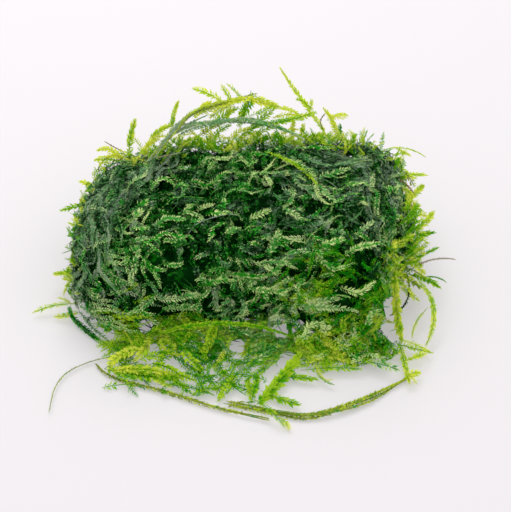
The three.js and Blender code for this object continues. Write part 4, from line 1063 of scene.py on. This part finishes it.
def moss_material(name, deep, green, fresh, sheen_colour, thin):
    """Wet moss: the shared tints in a soft surface, mixed with light that comes through thin leaves."""
    material = bpy.data.materials.get(name)
    if material:
        return material
    material = bpy.data.materials.new(name)
    material.use_nodes = True
    nodes, links = material.node_tree.nodes, material.node_tree.links
    surface = nodes["Principled BSDF"]
    tints = nodes.new("ShaderNodeGroup")
    tints.node_tree = tint_group()
    for socket, colour in (("Deep", deep), ("Green", green), ("Fresh", fresh), ("Sheen", sheen_colour)):
        tints.inputs[socket].default_value = (*colour, 1)
    tints.inputs["Wet"].default_value = 0.3
    bump = nodes.new("ShaderNodeBump")
    bump.inputs["Strength"].default_value = 0.35
    bump.inputs["Distance"].default_value = 0.0001
    links.new(tints.outputs["Height"], bump.inputs["Height"])
    links.new(bump.outputs["Normal"], surface.inputs["Normal"])
    links.new(tints.outputs["Colour"], surface.inputs["Base Color"])
    links.new(tints.outputs["Roughness"], surface.inputs["Roughness"])
    surface.inputs["Specular IOR Level"].default_value = 0.03
    through_leaf = nodes.new("ShaderNodeBsdfTranslucent")
    links.new(tints.outputs["Colour"], through_leaf.inputs["Color"])
    both = nodes.new("ShaderNodeMixShader")
    both.inputs["Fac"].default_value = thin
    links.new(surface.outputs["BSDF"], both.inputs[1])
    links.new(through_leaf.outputs["BSDF"], both.inputs[2])
    links.new(both.outputs["Shader"], nodes["Material Output"].inputs["Surface"])
    return material


def material_for(kind):
    """The material of a kind of moss. Each has three of the panel's colours, from shaded to newest, and the
    share of light that comes through its leaves."""
    name, *tints, thin = {
        "matted": ("matted_finish", "deep", "green", "fresh", 0.12),
        "lime": ("fresh_finish", "leaf", "lime", "yellow", 0.5),
        "green": ("green_finish", "green", "leaf", "lime", 0.45),
        "dark": ("dark_finish", "deep", "green", "fresh", 0.1),
        "olive": ("olive_finish", "green", "olive", "lime", 0.2),
        "brown": ("brown_finish", "brown", "brown", "olive", 0.2),
    }[kind]
    colours = bpy.context.scene.moss_colours
    # Each kind also gets the panel's grey, the colour of the painted wet sheen.
    return moss_material(name, *(getattr(colours, tint) for tint in tints), colours.grey, thin)


# Settings

def panel_colour(name, description, default):
    """A colour of the panel, in linear light."""
    return FloatVectorProperty(name=name, description=description, subtype="COLOR", default=default)


class MossSizes(bpy.types.PropertyGroup):
    """Sizes of the moss, and how much of it there is."""

    leaf_size: FloatProperty(
        name="Leaf size", description="Length of a leaf of the matted moss", default=0.9 * MM, unit="LENGTH"
    )
    shoot_length: FloatProperty(
        name="Shoot length", description="Mean length of a matted shoot", default=10 * MM, unit="LENGTH"
    )
    depth: FloatProperty(
        name="Depth", description="How deep the loose shoots lie over the dense inside", default=4.7 * MM,
        unit="LENGTH",
    )
    # The deep shoots get low tones, as painted shade under the surface.
    deep_shoots: IntProperty(
        name="Deep shoots", description="Dark shoots under the surface, in each of two pieces", default=450
    )
    top_shoots: IntProperty(
        name="Top shoots", description="Shoots at the surface, in each of two pieces", default=1400
    )
    lobe_shoots: IntProperty(name="Lobe shoots", description="Green shoots of the front right", default=300)
    fresh_fronds: IntProperty(name="Fresh fronds", description="Bright fronds on top", default=340)
    rim_shoots: IntProperty(name="Rim shoots", description="Lime shoots along the upper rim", default=500)
    front_shoots: IntProperty(name="Front shoots", description="Close shoots of the thin front", default=360)
    front_ferns: IntProperty(name="Front ferns", description="Single ferns of the thin front", default=64)
    underside_shoots: IntProperty(name="Underside shoots", description="Flat shoots below", default=240)


class MossColours(bpy.types.PropertyGroup):
    """Colours of the moss, from its shaded depth to its newest tips."""

    deep: panel_colour("Deep", "Old shaded moss", (0, 0.035, 0.002))
    green: panel_colour("Green", "Grown moss", (0.015, 0.42, 0.008))
    fresh: panel_colour("Fresh", "Young moss", (0.72, 0.9, 0.34))
    leaf: panel_colour("Leaf", "Open fern", (0.19, 0.62, 0.004))
    lime: panel_colour("Lime", "New shoots", (0.64, 0.86, 0.04))
    yellow: panel_colour("Yellow", "Newest tips", (0.94, 0.98, 0.15))
    # Grey is a painted wet sheen: the light that wet leaves reflect, put into the moss's colour.
    grey: panel_colour("Grey", "Grey coat", (0.31, 0.41, 0.3))
    olive: panel_colour("Olive", "Bare stems", (0.36, 0.4, 0.06))
    brown: panel_colour("Brown", "Dead tips", (0.4, 0.26, 0.12))


class StudioSettings(bpy.types.PropertyGroup):
    """The floor, the light and the camera."""

    floor: panel_colour("Floor", "Pale floor", (0.52, 0.498, 0.513))
    glow: FloatProperty(name="Glow", description="Light that comes from the floor itself", default=0.6)
    key: FloatProperty(name="Key", description="Power of the soft light above, in watts", default=3.1)
    sky: FloatProperty(name="Sky", description="Strength of the even light all round", default=0.78)
    distance: FloatProperty(name="Distance", description="Camera to clump", default=370 * MM, unit="LENGTH")
    elevation: FloatProperty(
        name="Elevation", description="Camera above the horizon", default=math.radians(40), subtype="ANGLE"
    )


# Where the moss grows

def front_limit(x):
    """How far the dense inside reaches to the front: less on the left, where the front is thin."""
    left, right = -14.5, -26.5
    return left + (right - left) * smoothstep(x, 15, 25)


def pad(u, v):
    """1 where the surface is thick moss and 0 on the thin front, which is what lies below a limit there."""
    x, y, z = np.moveaxis(on_mat(u, v, 0), -1, 0)
    limit = 8 - 5.5 * smoothstep(x, 15, 24)
    return np.where((y < -10) & (z < limit), 0, 1)


def lobe(u, v):
    """1 on the part of the pad that reaches furthest to the front right."""
    x, y, _ = np.moveaxis(on_mat(u, v, 0), -1, 0)
    return smoothstep(x, 10, 20) * smoothstep(-y, 12, 22)


def patchy(u, v):
    """Where the pad's upper shoots grow: all over it, but thinner in uneven patches, which show the dark."""
    uneven = 0.5 + 0.5 * smoothstep(ripple(u, v, 10, 9), -0.5, 0.3)
    return pad(u, v) * uneven * (1 - 0.7 * lobe(u, v)) * pits(u, v)


def front_lobe(u, v):
    """Where the lobe's green shoots grow."""
    return pad(u, v) * lobe(u, v) * pits(u, v)


def fresh_places(u, v):
    """Where fresh fronds grow: on light moss with little painted grey sheen."""
    light, grey = tint(u, v)
    return pad(u, v) * np.clip(1.6 * light - 0.1, 0, 1) * (1 - 0.8 * grey) * pits(u, v)


def rim_places(u, v):
    """Where rim shoots grow: in a narrow band along the back rim and a wide one down the sides, with fewer at
    the left and on the upper right."""
    angle = np.arctan2(v, u)
    share = np.hypot(u, v) / foot_distance(angle)
    back = smoothstep(np.sin(angle), 0.45, 0.7)
    rim = smoothstep(share, 0.48, 0.53) * smoothstep(share, 0.66, 0.6)
    sides = smoothstep(share, 0.62, 0.68) * smoothstep(share, 0.95, 0.85)
    left = smoothstep(-u, 20, 30) * (1 - back)
    right = smoothstep(u, 28, 34) * smoothstep(v, 7, 10) * smoothstep(v, 26, 22)
    band = rim * back + sides * (1 - back) * 0.5
    return np.where(np.sin(angle) > -0.35, band * (1 - 0.5 * left - 0.7 * right), 0)


def front_top(y):
    """Height of the thin front above the surface below: an even slope from its front edge up to the pad."""
    edge, slope, low, high = -44, 0.18, 0.8, 6
    return np.clip(low + (y - edge) * slope, low, high)


# Operators

class GrowInside(bpy.types.Operator):
    """The dense inside, painted near black as the shade within the clump: the clump's section drawn in by the
    depth of the loose shoots, and lumpy
    """

    bl_idname = "moss.grow_inside"
    bl_label = "Dense inside"

    def execute(self, context):
        depth = context.scene.moss_sizes.depth / MM
        around, rings, least = 150, 40, 0.3
        angle, share = np.meshgrid(
            np.arange(around) * 2 * math.pi / around, np.linspace(0.02, 1, rings), indexing="ij"
        )
        points = mat_point(angle, share, roughness=0)
        shrink = 1 - depth / reach_at(angle)
        points[..., :2] *= shrink[..., None]
        x, y, z = np.moveaxis(points, -1, 0)
        z = np.maximum(z - depth, least)
        lumps = 0.9 * ripple(x + z, y - z, 7, 1) + 0.5 * ripple(x - z, y + z, 3.1, 2)
        z = z + lumps * smoothstep(z, 0, 3)
        y = np.maximum(y, front_limit(x) + 0.4 * lumps)
        # Under the overhanging right edge the inside ends further in.
        clear, recessed = 60, 31
        recess = smoothstep(y, -30, -22) * smoothstep(y, 2, -8) * smoothstep(z, 24, 16)
        x = np.minimum(x, clear - (clear - recessed) * recess + 0.4 * lumps)
        points = np.stack([x, y, np.maximum(z, least)], -1)
        grid = points.reshape(-1, 3)
        top, foot = len(grid), len(grid) + 1
        grid = np.concatenate([grid, [points[:, 0].mean(0), points[:, -1].mean(0)]])
        i, j = np.meshgrid(np.arange(around), np.arange(rings - 1), indexing="ij")
        a, b = i * rings + j, (i + 1) % around * rings + j
        walls = np.stack([a, a + 1, b + 1, a, b + 1, b], -1).reshape(-1, 3)
        ring = np.arange(around)
        following = (ring + 1) % around
        crown = np.stack([0 * ring + top, ring * rings, following * rings], 1)
        base = np.stack([0 * ring + foot, following * rings + rings - 1, ring * rings + rings - 1], 1)
        triangles = np.concatenate([walls, crown, base])
        growth = Growth()
        # Its tone stays near the lowest: painted shade inside the clump.
        tone = 0.02 + 0.05 * ripple(grid[:, 0], grid[:, 1] + grid[:, 2], 5, 3)
        places, cells = np.zeros((3 * len(triangles), 2)), np.zeros(len(triangles), int)
        growth.add(grid, triangles, places, cells, tone, 0 * tone, True)
        settle(growth, "shaded_inner_moss", "matted", "moss_mat", mapped=False)
        return {"FINISHED"}


def mat_layer(
    rng, count, length, low, high, style, lighter, more_sheen, name, where=None, steps=9, size=1.0, kind="matted"
):
    """One layer of shoots on the clump, as a piece. Neighbours share their heading, height and tint. Without
    where, the shoots grow all over the dense inside and end where it does."""
    u, v = scatter(rng, count, where)
    heading = flow(u, v) + 0.7 * ripple(u, v, 15, 4) + rng.normal(0, 0.9, count)
    heading = heading + math.pi * (rng.random(count) < 0.5)
    spans = length * rng.uniform(0.55, 1.35, count)
    path_u, path_v = creep(rng, u, v, heading, spans, steps)
    points, normals = lay(rng, path_u, path_v, low, high)
    if where is None:
        limit = front_limit(points[..., 0]) - rng.uniform(0, 2, (count, 1))
        points[..., 1] = np.maximum(points[..., 1], limit)
    light, grey = tint(u, v)
    light = light + 0.15 * ripple(u, v, 9, 5) + rng.normal(0, 0.22, count) + lighter
    # Shoots in the pits get lower tones: painted shade in the hollows.
    light = light - 0.3 * (1 - pits(u, v))
    # Some shoots get much painted grey sheen and the rest little, scaled for the layer.
    has_sheen = rng.random(count) < grey + 0.3 * ripple(u, v, 11, 6)
    grey = np.where(has_sheen, rng.uniform(0.7, 1, count), rng.uniform(0, 0.25, count)) * more_sheen
    growth = Growth()
    growth.shoots(rng, points, normals, style, light, grey, size=size, gaps=True)
    settle(growth, name, kind)


class GrowMatted(bpy.types.Operator):
    """The matted moss: two pieces of deep shoots, darkened as painted shade, and two of shoots at the surface
    """

    bl_idname = "moss.grow_matted"
    bl_label = "Matted moss"

    def execute(self, context):
        sizes = context.scene.moss_sizes
        length = sizes.shoot_length / MM
        leaf = sizes.leaf_size / MM
        deep = dict(DEEP, leaf=leaf * 1.8)
        top = dict(MATTED, leaf=leaf)
        rng = np.random.default_rng(11)
        # The deeper a layer lies, the lower its tone, as painted shade, and the less painted grey sheen it
        # gets.
        mat_layer(rng, sizes.deep_shoots, length, -4.8, -3.6, deep, -0.4, 0, "deep_moss_lower", steps=6)
        mat_layer(rng, sizes.deep_shoots, length, -4, -2.4, deep, -0.3, 0.2, "deep_moss_upper", pad, 6)
        count = sizes.top_shoots
        mat_layer(rng, count, length * 0.5, -3, -1.6, top, -0.15, 0.6, "matted_strands_lower", patchy, 4)
        mat_layer(rng, count, length * 0.5, -2, -0.5, top, 0.07, 0.9, "matted_strands_upper", patchy, 4)
        mat_layer(
            rng, sizes.lobe_shoots, 7, -2.5, 0, top, -0.02, 0.2, "lobe_moss", front_lobe, kind="green"
        )
        return {"FINISHED"}


def surface_path(row, step=STEP):
    """A smooth path on the unrolled surface through a few places, as two rows of coordinates."""
    return along(row, step).T[:, None]


class GrowStreaks(bpy.types.Operator):
    """Single shoots that stand out on top of the matted moss, each at its own place"""

    bl_idname = "moss.grow_streaks"
    bl_label = "Shoots on top"

    def execute(self, context):
        rng = np.random.default_rng(21)
        growth = Growth()
        for look, *row in STREAKS:
            tone, grey, size = STREAK_LOOKS[look]
            u, v = surface_path(row)
            points, normals = lay(rng, u, v, 0.1, 0.7, root=2, tip=0.8)
            tints = np.array([tone + rng.normal(0, 0.05)]), np.array([grey])
            growth.shoots(rng, points, normals, dict(MATTED, form=LENS), *tints, size=size, roll=0.4)
        settle(growth, "shoots_on_top", "matted")
        return {"FINISHED"}


class GrowLocks(bpy.types.Operator):
    """Locks of long thin strands with much painted grey sheen, combed along the left edge and the top right
    """

    bl_idname = "moss.grow_locks"
    bl_label = "Grey locks"

    def execute(self, context):
        rng = np.random.default_rng(22)
        growth = Growth()
        for number, width, *row in LOCKS:
            u, v = surface_path(row, 1.6)
            across = unit(np.stack([-np.gradient(v[0]), np.gradient(u[0])], -1))
            share = np.linspace(0, 1, u.shape[1])
            phase = rng.uniform(0, 2 * math.pi, (number, 1))
            off = rng.normal(0, width, (number, 1)) + 0.9 * np.sin(share * 5 + phase)
            off = off + 0.5 * np.sin(share * 13 - phase)
            reach = u.max() - u.min() + v.max() - v.min()
            slide = rng.uniform(-0.12, 0.12, (number, 1)) * reach
            way = np.stack([across[:, 1], -across[:, 0]], -1)
            path_u = u + off * across[:, 0] + slide * way[:, 0]
            path_v = v + off * across[:, 1] + slide * way[:, 1]
            points, normals = lay(rng, path_u, path_v, -0.8, 0.4, root=2, tip=0.2)
            points[..., 2] += 0.25 * np.sin(share * 9 + phase)
            # Lock strands get a tone and much painted grey sheen.
            tints = rng.uniform(0, 0.7, number), rng.uniform(0.4, 1, number)
            growth.shoots(rng, points, normals, HAIR, *tints, size=1.1)
        settle(growth, "grey_sheen_locks", "matted")
        return {"FINISHED"}


class GrowFresh(bpy.types.Operator):
    """Bright fronds that stand out on top of the matted moss"""

    bl_idname = "moss.grow_fresh"
    bl_label = "Fresh fronds"

    def execute(self, context):
        count = context.scene.moss_sizes.fresh_fronds
        rng = np.random.default_rng(12)
        leafy = dict(MATTED, leaf=0.95, width=0.4)
        mat_layer(rng, count, 6, -0.8, 0.3, leafy, 0.22, 0.5, "fresh_fronds", fresh_places, size=0.85)
        return {"FINISHED"}


class GrowRim(bpy.types.Operator):
    """Lime shoots that stick out along the upper rim and down the sides"""

    bl_idname = "moss.grow_rim"
    bl_label = "Rim shoots"

    def execute(self, context):
        count = context.scene.moss_sizes.rim_shoots
        rng = np.random.default_rng(13)
        u, v = scatter(rng, count, rim_places)
        normals = mat_normal(u, v)
        points = on_mat(u, v)
        around = unit(np.cross(normals, (0, 0, 1.0)))
        side = rng.choice([-1, 1], count)[:, None] * rng.uniform(0.2, 1.4, count)[:, None]
        way = unit(normals * rng.uniform(0.1, 0.9, count)[:, None] + around * side + (0, 0, 0.35))
        length = rng.uniform(2, 5, count) * (1 - 0.4 * smoothstep(-points[:, 0], 20, 38))
        length = length * (1 - 0.25 * smoothstep(points[:, 1], 20, 30))
        step = np.linspace(-0.25, 1, 6)[:, None]
        bend = unit(rng.normal(0, 1, (count, 3))) * rng.uniform(0, 0.35, count)[:, None]
        shape = way[:, None] * step + bend[:, None] * step ** 2
        paths = points[:, None] + shape * length[:, None, None]
        paths[..., 2] = np.maximum(paths[..., 2], PATH_HEIGHT)
        normals = np.repeat(normals[:, None], len(step), 1)
        light = 0.45 + 0.3 * ripple(u, v, 12, 7) + rng.normal(0, 0.25, count)
        grey = np.full(count, 0.05)
        growth = Growth()
        growth.shoots(rng, paths, normals, dict(TIP, form=SLIVER), light, grey, size=0.75, roll=1.2)
        settle(growth, "rim_shoots", "lime")
        return {"FINISHED"}


def lying(rng, x, y, z, heading, length, steps=9):
    """Shoots that lie on the surface below: each an even curve about its middle, at its own height."""
    share = np.linspace(-0.5, 0.5, steps)
    yaw = np.radians(heading[:, None] + rng.normal(0, 40, len(x))[:, None] * share)
    tilt = rng.normal(-0.03, 0.08, (len(x), 1))
    ways = np.stack([np.cos(yaw), np.sin(yaw), 0 * yaw + tilt], -1)
    paths = np.cumsum(ways * length[:, None, None] / steps, 1)
    paths = paths - paths.mean(1, keepdims=True) + np.stack([x, y, z], -1)[:, None]
    paths[..., 2] = np.maximum(paths[..., 2], PATH_HEIGHT)
    return paths, np.zeros_like(paths) + (0, -0.35, 1)


class GrowFront(bpy.types.Operator):
    """The thin front: ferns close together under the pad's edge, and single ferns on the surface before it"""

    bl_idname = "moss.grow_front"
    bl_label = "Thin front"

    def execute(self, context):
        count = context.scene.moss_sizes.front_shoots
        rng = np.random.default_rng(14)
        x = rng.uniform(-33, 24, count)
        share = rng.beta(1, 1.2, count) * smoothstep(x, -50, -24)
        y = -18.5 - 10.5 * share - 3.5 * smoothstep(x, -14, 4) * share
        y = y - 7 * smoothstep(x, 6, 16) * (1 - share)
        y = np.maximum(y, -19 - 0.75 * (x + 42))
        z = rng.uniform(0.15, 1, count) * front_top(y)
        centre = smoothstep(x, -12, -2) * smoothstep(x, 20, 10)
        heading = -12 + 40 * centre + rng.normal(0, 40, count) + np.where(rng.random(count) < 0.5, 180, 0)
        light = 0.67 + 0.25 * ripple(x, y, 12, 8) + rng.normal(0, 0.2, count)
        grey = np.clip(0.2 * centre + rng.normal(0, 0.15, count), 0, 1)
        paths, normals = lying(rng, x, y, z, heading, rng.uniform(6, 12, count))
        growth = Growth()
        style = dict(MATTED, leaf=1.15, width=0.42)
        growth.shoots(rng, paths, normals, style, light, grey, roll=0.5, gaps=True)
        settle(growth, "front_tangle", "green")
        count = context.scene.moss_sizes.front_ferns
        x = rng.uniform(-32, 8, count)
        y = -26 - 13.5 * rng.random(count) - 2.5 * smoothstep(x, -25, 0)
        z = rng.uniform(0.6, 2.6, count)
        heading = rng.normal(-20, 50, count) + np.where(rng.random(count) < 0.4, 180, 0)
        light = 0.8 - 0.25 * smoothstep(x, -20, -8) + rng.normal(0, 0.15, count)
        paths, normals = lying(rng, x, y, z, heading, rng.uniform(6, 12, count))
        growth = Growth()
        growth.shoots(rng, paths, normals, PLUME, light, np.full(count, 0.05), size=0.65, roll=0.3, gaps=True)
        settle(growth, "front_ferns", "green")
        return {"FINISHED"}


class GrowUnderside(bpy.types.Operator):
    """Flat shoots on the underside, pressed on the surface that the clump lies on"""

    bl_idname = "moss.grow_underside"
    bl_label = "Underside"

    def execute(self, context):
        rng = np.random.default_rng(15)
        count = context.scene.moss_sizes.underside_shoots
        length, steps, margin = 13, 9, 4
        angle = rng.uniform(-math.pi, math.pi, count)
        radius = reach_at(angle) * np.sqrt(rng.random(count)) * 0.95
        heading = rng.uniform(0, 2 * math.pi, count)
        share = np.linspace(-0.5, 0.5, steps)
        yaw = heading[:, None] + rng.normal(0, 1, count)[:, None] * share
        ways = np.stack([np.cos(yaw), np.sin(yaw), 0 * yaw], -1)
        paths = np.cumsum(ways * length / steps, 1)
        height = rng.uniform(0.35, 1.4, count)
        middle = np.stack([radius * np.cos(angle), radius * np.sin(angle), height], -1)
        paths = paths - paths.mean(1, keepdims=True) + middle[:, None]
        x, y, _ = np.moveaxis(paths, -1, 0)
        past_edge = np.hypot(x, y) > reach_at(np.arctan2(y, x)) - margin
        under_overhang = (x > 6) & (y < -5)
        paths = paths[~(past_edge | under_overhang).any(1)]
        normals = np.zeros_like(paths) + (0, 0, 1)
        tints = 0.15 + 0.15 * rng.random(len(paths)), np.full(len(paths), 0.3)
        growth = Growth()
        growth.shoots(rng, paths, normals, DEEP, *tints, roll=0.15, gaps=True)
        settle(growth, "underside_moss", "matted")
        return {"FINISHED"}


def single(rng, growth, points, style, tone, grey, size):
    """One shoot in the open: leaves in a plane that faces up and forward, and smaller ones that face back."""
    points = points[None]
    for lean, share in ((-0.3, 1), (1.6, 0.75)):
        normals = np.zeros_like(points) + unit(np.array([0.2, lean, 1]))
        rows = dict(style, pitch=style["pitch"] / share, leaf=style["leaf"] * share)
        growth.shoots(rng, points, normals, rows, np.array([tone]), np.array([grey]), size=size, roll=0.2)


def loose(rng, growths, points, colour, style, size, lighter=0.0):
    """Adds a loose frond to the growth of its kind."""
    kind, tone, grey = COLOURS[colour]
    single(rng, growths.setdefault(kind, Growth()), points, STYLES[style], tone + lighter, grey, size)


class GrowFronds(bpy.types.Operator):
    """Single fronds of the thin front, and sprigs of the spray behind the rim and on the right"""

    bl_idname = "moss.grow_fronds"
    bl_label = "Fronds and sprigs"

    def execute(self, context):
        rng = np.random.default_rng(23)
        front, behind, small, on_top = {}, {}, {}, {}
        for colour, style, size, *row in FRONDS:
            flat = along(row)
            lift = 0.3 * np.sin(np.linspace(0, math.pi, len(flat)))
            points = np.column_stack([flat, front_top(flat[:, 1]) + lift])
            loose(rng, front, points, colour, style, size)
        for colour, style, size, *row in SPRIGS:
            points = along(row)
            # Sprigs behind the rim are made lighter: painted light, for the open light they stand in.
            painted_light_behind = 0.3 * smoothstep(points[0, 1], 20, 32)
            loose(rng, behind, points, colour, style, size, painted_light_behind)
        for colour, style, size, *row in SMALL_SHOOTS:
            loose(rng, small, arc(*row), colour, style, size)
        for colour, style, size, *row in ON_TOP:
            u, v = surface_path(row)
            points, normals = lay(rng, u, v, -0.1, 0.3, root=0.8, tip=0.4)
            kind, tone, grey = COLOURS[colour]
            growth = on_top.setdefault(kind, Growth())
            tints = np.array([tone]), np.array([grey])
            growth.shoots(rng, points, normals, STYLES[style], *tints, size=size, roll=0.3)
        for title, growths in (
            ("front_fronds", front), ("sprigs", behind), ("small_shoots", small), ("fronds_on_top", on_top),
        ):
            for kind, growth in growths.items():
                settle(growth, f"{title}_{kind}", kind)
        return {"FINISHED"}


class GrowNamed(bpy.types.Operator):
    """The shoots and stems that have solids of their own, each leafed along the same route"""

    bl_idname = "moss.grow_named"
    bl_label = "Named shoots and stems"

    def execute(self, context):
        rng = np.random.default_rng(16)
        for kind, shoots in SHOOTS.items():
            for name, row in shoots.items():
                style, size, lighter, grey = NAMED_LOOKS.get(name, ("tip", 1, 1, 0))
                points = arc(*row)[::-1] if name in LEAFED_BACK else arc(*row, back=ROOT)
                growth = Growth()
                single(rng, growth, points, STYLES[style], TONES[kind] * lighter, grey, size)
                settle(growth, "leafy_" + name, kind, name)
        for kind, stems in STEMS.items():
            for name, (strands, size, width, tone, grey, *row) in stems.items():
                path = along(row, 1)
                share = np.linspace(0, 1, len(path))[None, :, None]
                phase = rng.uniform(0, 2 * math.pi, (strands, 1, 3))
                off = 0.5 * width * np.sin(share * rng.uniform(4, 9, (strands, 1, 1)) + phase)
                paths = path[None] + off * (1, 1, 0.6)
                paths[..., 2] = np.maximum(paths[..., 2], PATH_HEIGHT)
                normals = np.zeros_like(paths) + (0, -0.3, 1)
                tints = tone + rng.normal(0, 0.12, strands), np.full(strands, grey)
                growth = Growth()
                growth.shoots(rng, paths, normals, ROPE, *tints, size=size, roll=0.8)
                settle(growth, "leafy_" + name, kind, name)
        return {"FINISHED"}


class SetStage(bpy.types.Operator):
    """A plain pale floor, soft studio light and the camera"""

    bl_idname = "moss.set_stage"
    bl_label = "Stage"

    def execute(self, context):
        scene = context.scene
        studio = scene.moss_studio
        mesh = bpy.data.meshes.new("floor")
        mesh.from_pydata([(-3, -3, 0), (3, -3, 0), (3, 3, 0), (-3, 3, 0)], [], [(0, 1, 2, 3)])
        floor = bpy.data.objects.new("floor", mesh)
        scene.collection.objects.link(floor)
        material = bpy.data.materials.new("pale_floor")
        material.use_nodes = True
        surface = material.node_tree.nodes["Principled BSDF"]
        surface.inputs["Base Color"].default_value = (*studio.floor, 1)
        surface.inputs["Roughness"].default_value = 0.6
        surface.inputs["Emission Color"].default_value = (*studio.floor, 1)
        surface.inputs["Emission Strength"].default_value = studio.glow
        mesh.materials.append(material)
        world = bpy.data.worlds.new("studio")
        world.use_nodes = True
        sky = world.node_tree.nodes["Background"]
        sky.inputs["Color"].default_value = (1, 1, 1, 1)
        sky.inputs["Strength"].default_value = studio.sky
        scene.world = world
        for name, place, size, power in (
            ("key", (-0.12, 0.55, 0.62), 0.6, studio.key),
            ("fill", (0.5, -0.5, 0.7), 0.8, studio.key * 0.35),
        ):
            light = bpy.data.lights.new(name, "AREA")
            light.size = size
            light.energy = power
            lamp = bpy.data.objects.new(name, light)
            lamp.location = place
            lamp.rotation_euler = (-lamp.location).to_track_quat("-Z", "Y").to_euler()
            scene.collection.objects.link(lamp)
        camera = bpy.data.cameras.new("camera")
        camera.lens = 100
        camera.sensor_width = 36
        camera.clip_start = 0.01
        eye = bpy.data.objects.new("camera", camera)
        target = np.array([3.5, 1.0, 8]) * MM
        away = np.array([0, -math.cos(studio.elevation), math.sin(studio.elevation)])
        eye.location = target + away * studio.distance
        eye.rotation_euler = (math.pi / 2 - studio.elevation, 0, 0)
        scene.collection.objects.link(eye)
        scene.camera = eye
        scene.view_settings.view_transform = "Standard"
        return {"FINISHED"}


STEPS = (
    SetStage, GrowInside, GrowMatted, GrowFresh, GrowStreaks, GrowLocks, GrowRim, GrowFront, GrowFronds,
    GrowUnderside, GrowNamed,
)


class MossPanel(bpy.types.Panel):
    """The clump's settings and steps"""

    bl_idname = "VIEW3D_PT_moss"
    bl_label = "Java moss clump"
    bl_space_type = "VIEW_3D"
    bl_region_type = "UI"
    bl_category = "Moss"

    def draw(self, context):
        for settings in (context.scene.moss_sizes, context.scene.moss_colours, context.scene.moss_studio):
            for name in settings.__annotations__:
                self.layout.prop(settings, name)
        for step in STEPS:
            self.layout.operator(step.bl_idname)


CLASSES = (MossSizes, MossColours, StudioSettings, *STEPS, MossPanel)


def register():
    for item in CLASSES:
        bpy.utils.register_class(item)
    bpy.types.Scene.moss_sizes = PointerProperty(type=MossSizes)
    bpy.types.Scene.moss_colours = PointerProperty(type=MossColours)
    bpy.types.Scene.moss_studio = PointerProperty(type=StudioSettings)


def unregister():
    del bpy.types.Scene.moss_studio
    del bpy.types.Scene.moss_colours
    del bpy.types.Scene.moss_sizes
    for item in reversed(CLASSES):
        bpy.utils.unregister_class(item)


def main():
    """Registers the add-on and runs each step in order."""
    register()
    for step in STEPS:
        family, action = step.bl_idname.split(".")
        getattr(getattr(bpy.ops, family), action)()


if __name__ == "__main__":
    main()
